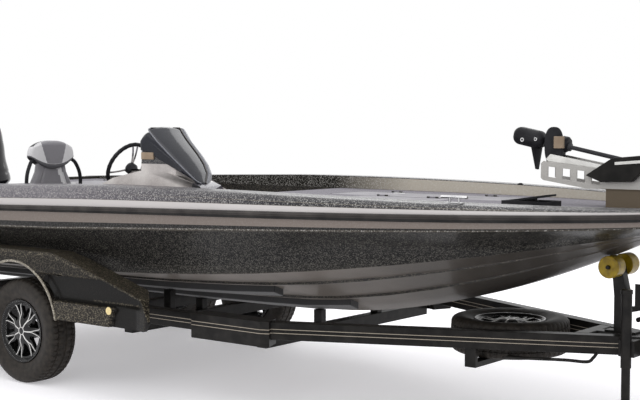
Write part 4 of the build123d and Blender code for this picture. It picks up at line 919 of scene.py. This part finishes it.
def makeSeatBack(name, mid, values, material, shell):
    # lower back: rounded-rectangle outlines stacked by the table of half widths, with a hollowed front
    body = name + "_seat_back"
    table = np.array(values["lower"])
    middle, depth = (values["front"] + values["back"]) / 2, (values["front"] - values["back"]) / 2
    across, deep = (signedPower(wave(turns(96)), 0.6)[None] for wave in (np.sin, np.cos))
    z = np.linspace(table[0, 0], table[-1, 0], 44)[:, None]
    half = np.interp(z, table[:, 0], table[:, 1])
    end = np.sqrt(1 - (1 - np.clip((z - z[0]) / 0.018 + 0.05, 0, 1)) ** 2)
    swell = 1 - 0.30 * bell(across, 0.5) * (deep > 0)
    seam = 0.010 * bell(np.abs(across) - 0.62, 0.05) * (deep > 0.3)
    x = middle - 0.006 + (deep * depth * 0.84 * swell - seam) * end
    y = mid + across * half * (0.85 + 0.15 * end)
    strip = np.abs((y - mid) - (0.055 + (1.386 - z) * 0.42)) < 0.021
    hollow = (np.abs(across) > 0.66) & (z < 1.265) & (deep > 0)
    panel = np.where(strip & (deep > 0), 1.0, np.where(hollow, 3.0, 0.0))
    panel = np.where(deep < -0.2, 2.0, panel)
    makePad(name + "_back_pad", spread(x, y, z), panel, material, body, (name + "_back",))
    # hood: outlines carried from its lower edge, which lifts towards both sides, to its drooping top
    hood = values["hood"]
    v = np.linspace(0, 1, 54)[:, None]
    low = hood["low"] + hood["lift"] * np.abs(across) ** 2.2
    top = hood["top"] - hood["droop"] * np.abs(across) ** 3
    end = np.sqrt(1 - (1 - np.minimum(np.minimum(v / 0.10, (1 - v) / 0.16), 1)) ** 2)
    crown = 1 - 0.22 * across ** 2 * v
    bound = 0.27 + 0.36 * v
    seam = 0.004 * bell(np.abs(across) - bound, 0.03) * (deep > 0)
    x = middle + deep * depth * (0.35 + 0.65 * end) * crown - seam
    y = mid + across * hood["half"] * (0.86 + 0.14 * end) * (1 - 0.09 * v ** 3)
    light = np.clip((np.abs(across) - bound) / 0.12 + 0.5, 0, 1) * ((deep > -0.5) & (v > hood["dark"]))
    panel = np.where(v < hood["dark"], 3.0, light)
    panel = np.where(deep < -0.5, 2.0, panel)
    makePad(name + "_hood_pad", spread(x, y, low + (top - low) * v), panel, material, body, ())
    for side, word in ((1, "port"), (-1, "starboard")):
        path = smoothPath([(x, mid + side * y, z) for x, y, z in values["arm"]], 60)
        arm = sweep(path, roundOutline(0.0125, 12, 1.2), (1, 0, 0))
        finishPiece(f"{name}_back_arm_{word}", arm, shell, body)


def makeCushion(name, mid, values, material):
    # a crowned block: superellipse plan, sides that pull in between the corners, two sewn channels
    (x0, x1), (y0, y1), (z0, z1) = values["cushion"]
    cx, cy = (signedPower(wave(turns(128)), 0.36)[None] for wave in (np.cos, np.sin))
    theta = (math.pi * (np.linspace(0, 1, 26) - 0.5))[:, None]
    ring = np.maximum(np.cos(theta), 0) ** 0.30
    level = signedPower(np.sin(theta), 0.55)
    pull = 1 - 0.022 * (1 - (cx * cy) ** 2) * (1 - level ** 2)
    hx, hy = (x1 - x0) / 2, (y1 - y0) / 2
    u, w = ring * cx * pull, ring * cy * pull
    crown = np.where(level > 0, (1 - 0.35 * u ** 2) * (1 - 0.30 * w ** 2), 1)
    z = z0 + (z1 - z0) * (0.5 + 0.5 * level * crown)
    channel = bell(np.abs(w) - 0.52, 0.02) + bell(u - 0.55, 0.02)
    z = z - 0.006 * channel * (level > 0.3)
    panel = np.where((np.abs(w) > 0.53) & (level > 0.0), 1.0, 0.0)
    panel = np.where(level < -0.35, 2.0, panel)
    points = spread((x0 + x1) / 2 + hx * u, mid + hy * w, z)
    piece = finishPiece(name + "_cushion_pad", gridMesh(points, wrapV=True, panel=panel), material,
                        replaced=(name + "_cushion",), angle=60)


for seatName, seatMid in seatForm["mids"].items():
    makeSeatBack(seatName, seatMid, seatForm, paint["vinyl"], paint["plastic"])
    makeCushion(seatName, seatMid, seatForm, paint["vinyl"])
print("seats made")


# Outboard
cowlForm = {
    "swivel": -3.230, "foot": 1.180, "high": 0.619, "power": 2.3,
    # up from the foot, front and back from the swivel, half width
    "sections": ((0.000, 0.120, -0.410, 0.150), (0.020, 0.130, -0.455, 0.205), (0.062, 0.135, -0.495, 0.260),
                 (0.140, 0.115, -0.509, 0.256), (0.235, 0.090, -0.518, 0.240), (0.360, 0.080, -0.515, 0.226),
                 (0.476, 0.062, -0.508, 0.203), (0.545, 0.025, -0.488, 0.178),
                 (0.590, -0.025, -0.455, 0.145), (0.613, -0.070, -0.405, 0.100),
                 (0.619, -0.110, -0.360, 0.060)),
    # the bright band along each side, from the swivel
    "band": ((0.08, 0.10, 1.345), (-0.10, 0.236, 1.352), (-0.30, 0.238, 1.356), (-0.47, 0.13, 1.358)),
    # the split line's and the swage's height over the foot
    "split": 0.125, "swage": 0.31,
}


def makeCowl(values, material, band):
    # superellipse sections faired with a spline, a split line, a swage and a bright band along each side
    up, front, back, half = smoothPath(values["sections"], 64).T[..., None]
    up = np.minimum(up, values["high"])
    cx, cy = (signedPower(wave(turns(96)), 2 / values["power"])[None] for wave in (np.cos, np.sin))
    groove = 1 - 0.016 * bell(up - values["split"], 0.0045)
    swage = 1 - 0.045 * bell(up - values["swage"] - 0.10 * cx, 0.030) * np.abs(cy) ** 3
    x = values["swivel"] + (front + back) / 2 + (front - back) / 2 * cx * groove
    points = closeEnds(spread(x, half * cy * groove * swage, values["foot"] + up))
    finishPiece("motor_cover", gridMesh(points, wrapV=True), material, "outboard", ("motor_cowl",), angle=50)
    for side, word in ((1, "port"), (-1, "starboard")):
        path = smoothPath([(values["swivel"] + x, side * y, z) for x, y, z in values["band"]], 50)
        finishPiece("motor_band_" + word, sweep(path, roundOutline(0.006, 8, 1.6)), band, "outboard")


makeCowl(cowlForm, paint["cowl"], paint["aluminium"])
print("outboard made")


# Wheels
wheelForm = {
    "y": 1.137, "axleX": (-1.250, -2.106), "axleZ": 0.345, "tyre": 0.3445, "rim": 0.206, "width": 0.2095,
    "spare": (1.700, 0.0, 0.480), "blocks": 54, "groove": 0.006, "ridge": 0.0014,
    # the tyre across from the middle in half widths, radius as a share of rim to tread
    "section": ((0.74, 0.00), (0.80, 0.03), (0.84, 0.10), (0.92, 0.26), (0.985, 0.44), (1.00, 0.56),
                (0.985, 0.70), (0.94, 0.82), (0.88, 0.90), (0.80, 0.955), (0.70, 0.982), (0.58, 0.99),
                (0.56, 0.955), (0.50, 0.955), (0.48, 0.995), (0.30, 1.00), (0.13, 1.00), (0.11, 0.955),
                (0.0, 0.955)),
}
# name, centre, axis, body
wheels = []
for word, sign in (("starboard", -1), ("port", 1)):
    for place, x in zip(("front", "rear"), wheelForm["axleX"]):
        centre = (x, sign * wheelForm["y"], wheelForm["axleZ"])
        wheels.append((f"{word}_{place}", centre, (0, sign, 0), f"wheel_{word}_{place}"))
wheels.append(("spare", wheelForm["spare"], (0, 0, 1), "boat"))


def makeTyre(name, centre, axis, body, values, material):
    # the section turned about the axle; the shoulder and tread are cut into blocks by a wave round the tyre
    axis = np.array(axis, float)
    side = np.array([1.0, 0.0, 0.0])
    half = np.array(values["section"])
    across, share = np.concatenate([half, (half * (-1, 1))[::-1][1:]]).T[:, None]
    a = turns(values["blocks"] * 6)[:, None]
    wave = np.cos(values["blocks"] * a + 2.2 * np.abs(across) + 0.9 * np.sign(across)) > 0.55
    cut = values["groove"] * (wave & (share > 0.90) & (np.abs(across) > 0.2))
    ridge = values["ridge"] * (np.abs(share - 0.30) < 0.03)
    radius = (values["rim"] + (values["tyre"] - values["rim"]) * share - cut)[..., None]
    width = (values["width"] / 2 * across + ridge * np.sign(across))[..., None]
    a = a[..., None]
    other = np.cross(axis, side)
    points = centre + radius * np.cos(a) * side + radius * np.sin(a) * other + width * axis
    finishPiece(f"tyre_{name}_tread", gridMesh(points, wrapU=True), material, body, ("tyre_" + name,),
                angle=38)


spokeForm = {"count": 7, "face": 0.0850, "line": 0.0027, "flat": 0.7, "hub": 0.024, "lip": 0.1965,
             "chamfer": 0.0045,
             # the depth of the face at each radius, and how far a spoke's edges stand from its middle there
             "dish": ((0.062, 0.110, 0.194, 0.1965), (0.0, -0.018, -0.010, 0.002)),
             "fork": ((0.028, 0.076, 0.096, 0.112, 0.164, 0.176),
                      (0.0012, 0.0012, 0.004, 0.010, 0.021, 0.030))}


def makeRim(node, chamfer, dark, bright):
    # the cast rim, black, with every edge cut to a bright turned chamfer
    piece = softEdged(node, dark, chamfer, 1, 28.0)
    piece.data.materials.append(bright)
    piece.modifiers["edges"].material = 1


def makeSpokeLines(name, centre, axis, body, values, material):
    # bright turned edges: each spoke a stem that forks to the rim, a ring round the hub and one round the lip
    axis = np.array(axis, float)
    side = np.array([1.0, 0.0, 0.0])
    other = np.array([0.0, 1.0, 0.0]) if axis[2] else np.array([0.0, 0.0, 1.0])
    start = math.pi if axis[1] < 0 else 0.0
    lines = []

    def at(r, t, turn, lift):
        # the point at radius r, t aside, of a line drawn at the angle
        depth = values["face"] + lift + np.interp(r, *values["dish"])
        return centre + spread(r * np.cos(turn) - t * np.sin(turn)) * side \
            + spread(r * np.sin(turn) + t * np.cos(turn)) * other + spread(depth) * axis

    radii = np.linspace(values["fork"][0][0], values["fork"][0][-1], 20)
    for turn in start + 2 * math.pi * (np.arange(values["count"]) + 0.5) / values["count"]:
        for sign in (1, -1):
            path = at(radii, sign * np.interp(radii, *values["fork"]), turn, 0.0005)
            lines.append(sweep(path, roundOutline(values["line"], 8, values["flat"]), axis))
    for radius, thick in ((values["hub"], values["line"]), (values["lip"], 0.6 * values["line"])):
        path = at(np.full(72, radius), 0, turns(72), 0.0)
        lines.append(sweep(path, roundOutline(thick, 8, values["flat"]), axis, closed=True))
    finishPiece("spokes_" + name, joinMeshes(lines), material, body)


for wheel in wheels:
    makeTyre(*wheel, wheelForm, paint["tyre"])
for rimNode in [name for name in frame["nodes"] if name.startswith("rim_")]:
    makeRim(rimNode, spokeForm["chamfer"], paint["rimPaint"], paint["machined"])
for wheel in wheels:
    makeSpokeLines(*wheel, spokeForm, paint["machined"])
print("wheels made")


# Trailer
fenderForm = {
    "face": 1.285, "inner": 1.115, "low": 0.470, "arch": 0.420, "archZ": 0.390, "axles": (-1.250, -2.106),
    "lip": 0.009, "edge": 0.012, "between": 0.605, "x": (0.0095, -2.9845), "cols": 260, "hollow": 0.050,
    "frontX": -0.075,
    "top": ((0.010, 0.537), (-0.056, 0.661), (-0.700, 0.852), (-0.870, 0.890), (-2.390, 0.890),
            (-2.700, 0.850), (-2.960, 0.700), (-2.985, 0.560)),
    # the lines forward of the front arch: the fold's height, the hollow's foot aft and forward of an x
    "fold": 0.752, "foot": (-0.900, 0.634, 0.612),
    # the step block: its top, its end and how far that slants in over 0.1 m
    "step": (0.590, -0.300, 0.025),
    # the lips: degrees round each wheel's arch
    "lips": ((-2, 117), (63, 182)),
}


def makeFender(name, side, values, material, lipFinish):
    # the outer face over x and a share of its height, set in below the fold and the step, a rounded top edge,
    # the top in to the boat's side, and a return along the wheel arches
    face, edge, front = values["face"], values["edge"], values["axles"][0]
    x = np.linspace(*values["x"], values["cols"])
    high = along(x, values["top"], 1) - 0.001
    arch = np.maximum(*[values["archZ"] + np.sqrt(np.maximum(values["arch"] ** 2 - (x - axle) ** 2, 0))
                        for axle in values["axles"]])
    low = np.where(arch <= values["archZ"] + 1e-6, values["low"], np.maximum(values["low"], arch))
    low = np.where((x < front) & (x > values["axles"][1]), np.maximum(low, values["between"]), low)
    nose = np.interp(x, (-0.030, 0.010), (values["low"], 0.535))
    low = np.minimum(np.where(x > -0.030, nose, low), high - 0.004)[:, None]
    x, high = x[:, None], high[:, None]
    z = low + np.maximum(high - edge - low, 0) * np.linspace(0, 1, 90)
    fold, (footX, footAft, footFore) = values["fold"], values["foot"]
    foot = np.where(x > footX, footFore, footAft)
    stepTop, stepX, slant = values["step"]
    fore = np.clip((x - front - 0.25) / 0.05, 0, 1)

    def soft(gap, width=0.008):
        # 0 to 1 over a width round the place where the gap is nothing
        return np.clip(gap / width + 0.5, 0, 1)

    under = soft(fold - z) * fore                                   # the hollow below the fold
    block = soft(stepTop - z) * soft(stepX - slant * (stepTop - z) / 0.1 - x) * fore
    ramp = np.clip((foot - z) / np.maximum(foot - stepTop, 0.02), 0, 1)
    inset = under * (values["hollow"] - 0.022 * ramp) * (1 - block)
    inset = inset * np.clip((-0.02 - x) / 0.10, 0, 1)
    # zone 0 below the fold is the hollow's painted shade; the lines of 2 and 1.6 along the fold, the hollow's
    # foot and under the top edge are painted highlights; 2 on the step block and the top is speckle
    zone = np.where(z > fold, 1.0, np.where(block > 0.5, 2.0, 0.0))
    zone = np.where(x > front + 0.28, zone, np.where(z > high - 0.045, 1.6, 1.0))
    for where, number in (((np.abs(z - fold) < 0.008) & (fore > 0.5), 2.0),
                          ((np.abs(z - foot) < 0.005) & (x > -0.52), 1.6), (z > high - 0.026, 2.0),
                          (x > values["frontX"], 0.3)):
        zone = np.where(where, number, zone)
    turn = np.linspace(0, math.pi / 2, 6)[1:]
    inner = np.interp(x, (-0.161, 0.010), (values["inner"], face - edge - 0.002))
    edgeY = face - edge * (1 - np.cos(turn)) + 0 * x
    t = np.linspace(0, 1, 12)[1:]
    topY = edgeY[:, -1:] + (inner - edgeY[:, -1:]) * t
    backY = face - np.array([0.030, 0.004]) - inset[:, :1]
    outY = np.concatenate([backY, face - inset, edgeY, topY, inner], 1)
    outZ = np.concatenate([low, low, z, high - edge + edge * np.sin(turn), high + 0 * t, high - 0.030], 1)
    zones = np.concatenate([0 * backY, zone, 0 * edgeY + 2, 0 * topY + 2, 0 * inner + 1], 1)
    points = spread(x, side * outY, outZ)
    wall = points[-1:].copy()       # the stern end runs in no further out than the boat's side
    wall[..., 1] = side * np.clip(side * wall[..., 1], 0, values["inner"] + 0.02)
    mesh = gridMesh(np.concatenate([points, wall]), zone=np.concatenate([zones, zones[-1:]]))
    finishPiece("fender_skin_" + name, mesh, material, replaced=("fender_" + name,),
                angle=32)
    lips = []
    for axle, ends in zip(values["axles"], values["lips"]):
        turn = np.radians(np.linspace(*ends, 70))
        reach = values["arch"] + 0.004
        path = spread(axle + reach * np.cos(turn), side * (face - 0.004),
                      np.maximum(values["archZ"] + reach * np.sin(turn), values["low"]))
        lips.append(sweep(path, roundOutline(values["lip"], 10, 0.9), (0, side, 0)))
    finishPiece("arch_lip_" + name, joinMeshes(lips), lipFinish)


makeFender("starboard", -1, fenderForm, paint["fender"], paint["lip"])
makeFender("port", 1, fenderForm, paint["fender"], paint["lip"])
print("trailer made")


# The solids that keep their own shape: finish, width of the rounded edges, nodes
solidFinishes = (
    ("motor", 0.005, "motor_leg swivel_bracket clamp_bracket"),
    ("rail", 0.005, "frame_starboard frame_port tongue_beam"),
    ("enamel", 0.003, "crossmembers axles bunk_brackets winch_post jack_tube jack_leg jack_fork spare_carrier"
                      " coupler winch_drum trolling_wing"),
    ("trollingBase", 0.003, "trolling_base"), ("aluminium", 0.003, "trolling_arm"),
    ("shaft", 0.0, "trolling_shaft"), ("plastic", 0.002, "trolling_prop"), ("plastic", 0.003, "foot_pedal"),
    ("plastic", 0.004, "trolling_bracket"), ("plastic", 0.006, "trolling_pod"), ("plastic", 0.008, "seat_base"),
    ("plastic", 0.010, "trolling_head"), ("steel", 0.003, "cleats"), ("steel", 0.0015, "propeller"),
    ("bunkCarpet", 0.006, "bunks"), ("lenses", 0.003, "lamps"), ("matt", 0.004, "jack_wheel"),
    ("carpet", 0.004, "rod_lid_port rod_lid_starboard front_lid rear_lid_port rear_lid_starboard"),
)
for key, width, nodes in solidFinishes:
    for node in nodes.split():
        softEdged(node, paint[key], width)
softEdged("bow_rollers", paint["amber"], 0.004, 3)


# Small parts, in metres
detailForm = {
    # blocks: finish, body, centre, size, how round the corners are
    "blocks": {
        "dash_block": ("dashTan", "boat", (-0.354, -0.926, 1.501), (0.108, 0.022, 0.044), 0.3),
        "bracket_housing": ("dashTan", "trolling_bracket", (1.905, 0.188, 1.592), (0.060, 0.030, 0.070), 0.4),
        "coaming_switches": ("plastic", "boat", (1.370, 0.902, 1.278), (0.10, 0.014, 0.036), 0.3),
    },
    "yoke": ((1.868, 0.196, 1.572), (0.122, 0.220, 0.018), 0.9),
    # turned parts: finish, body, centre, axis, segments, radii and heights
    "lathed": {
        "bracket_cap": ("plastic", "trolling_bracket", (1.931, 0.24, 1.578), (0.98, 0, -0.2), 40, (
            (0.020, -0.050), (0.040, -0.046), (0.047, -0.030), (0.047, 0.0), (0.038, 0.012), (0.016, 0.014))),
        "coaming_cup": ("plastic", "boat", (1.250, 0.9145, 1.282), (0, -1, 0), 40, (
            (0, -0.003), (0.022, -0.003), (0.024, 0.003), (0.029, 0.003), (0.030, -0.004))),
    },
    # the rings on the trolling motor's head: centre, radius
    "rings": (((1.665, 0.184, 1.606), 0.0120), ((1.752, 0.186, 1.610), 0.0105)),
    # each lid's latch in x and y, its height and size
    "latches": (("rod_lid_starboard", 0.95, -0.50), ("rod_lid_port", 0.50, 0.594),
                ("front_lid", 0.77, -0.235), ("rear_lid_port", -2.41, 0.20),
                ("rear_lid_starboard", -2.41, -0.20)),
    "latchZ": 1.2305, "latch": (0.085, 0.034, 0.006),
    # the wing's inlay and the winch strap: ends, half width and half thickness; the spare carrier's bent rod
    "stripe": ((2.290, 0.1085, 1.478), (2.552, 0.1085, 1.500)), "stripeHalf": (0.001, 0.008),
    "strap": ((2.575, 0.0, 0.845), (2.557, 0.0, 1.012)), "strapHalf": (0.020, 0.0009),
    "rod": ((1.735, -0.30, 0.395), (1.95, -0.30, 0.405), (2.20, -0.30, 0.424), (2.335, -0.30, 0.430),
            (2.372, -0.30, 0.455), (2.394, -0.30, 0.484)), "rodRadius": 0.009,
}


def makeDetails(values):
    # rounded blocks, turned parts and swept strips: rings, yoke, housing and cap of the trolling motor, flush
    # latches, a cup and switches in the coaming, a block on the dash, an inlay, a strap and a rod
    for name, (key, body, *form) in values["blocks"].items():
        finishPiece(name, plate(*form), paint[key], body)
    for name, (key, body, centre, axis, count, profile) in values["lathed"].items():
        finishPiece(name, lathe(profile, centre, axis, count), paint[key], body)
    upright = np.array([(1, 0, 0), (0, 0, 1), (0, -1, 0)])
    finishPiece("bracket_yoke", plate(*values["yoke"], turn=upright), paint["plastic"], "trolling_bracket")
    for count, (centre, size) in enumerate(values["rings"]):
        profile = [(size * 0.55, -0.004), (size * 0.55, 0.002), (size, 0.002), (size, -0.004)]
        ring = lathe(profile, centre, (0, -1, 0), 28)
        finishPiece(f"head_ring_{count}", ring, paint["white"], "trolling_shaft")
    for count, (body, x, y) in enumerate(values["latches"]):
        latch = plate((x, y, values["latchZ"]), values["latch"], 0.6)
        finishPiece(f"latch_{count}", latch, paint["white"], body)
    stripe = sweep(np.linspace(*values["stripe"], 10), flatOutline(*values["stripeHalf"]))
    finishPiece("wing_stripe", stripe, paint["aluminium"])
    strap = sweep(np.linspace(*values["strap"], 12), flatOutline(*values["strapHalf"]), (1, 0, 0))
    finishPiece("winch_strap", strap, paint["webbing"])
    rod = sweep(smoothPath(values["rod"], 60), roundOutline(values["rodRadius"], 12))
    finishPiece("carrier_rod", rod, paint["enamel"])


makeDetails(detailForm)
for node in ("hull", "deck_cap"):
    solid = frame["nodes"][node].data
    solid.materials.clear()
    solid.materials.append(paint["liner"])
print("fittings made")
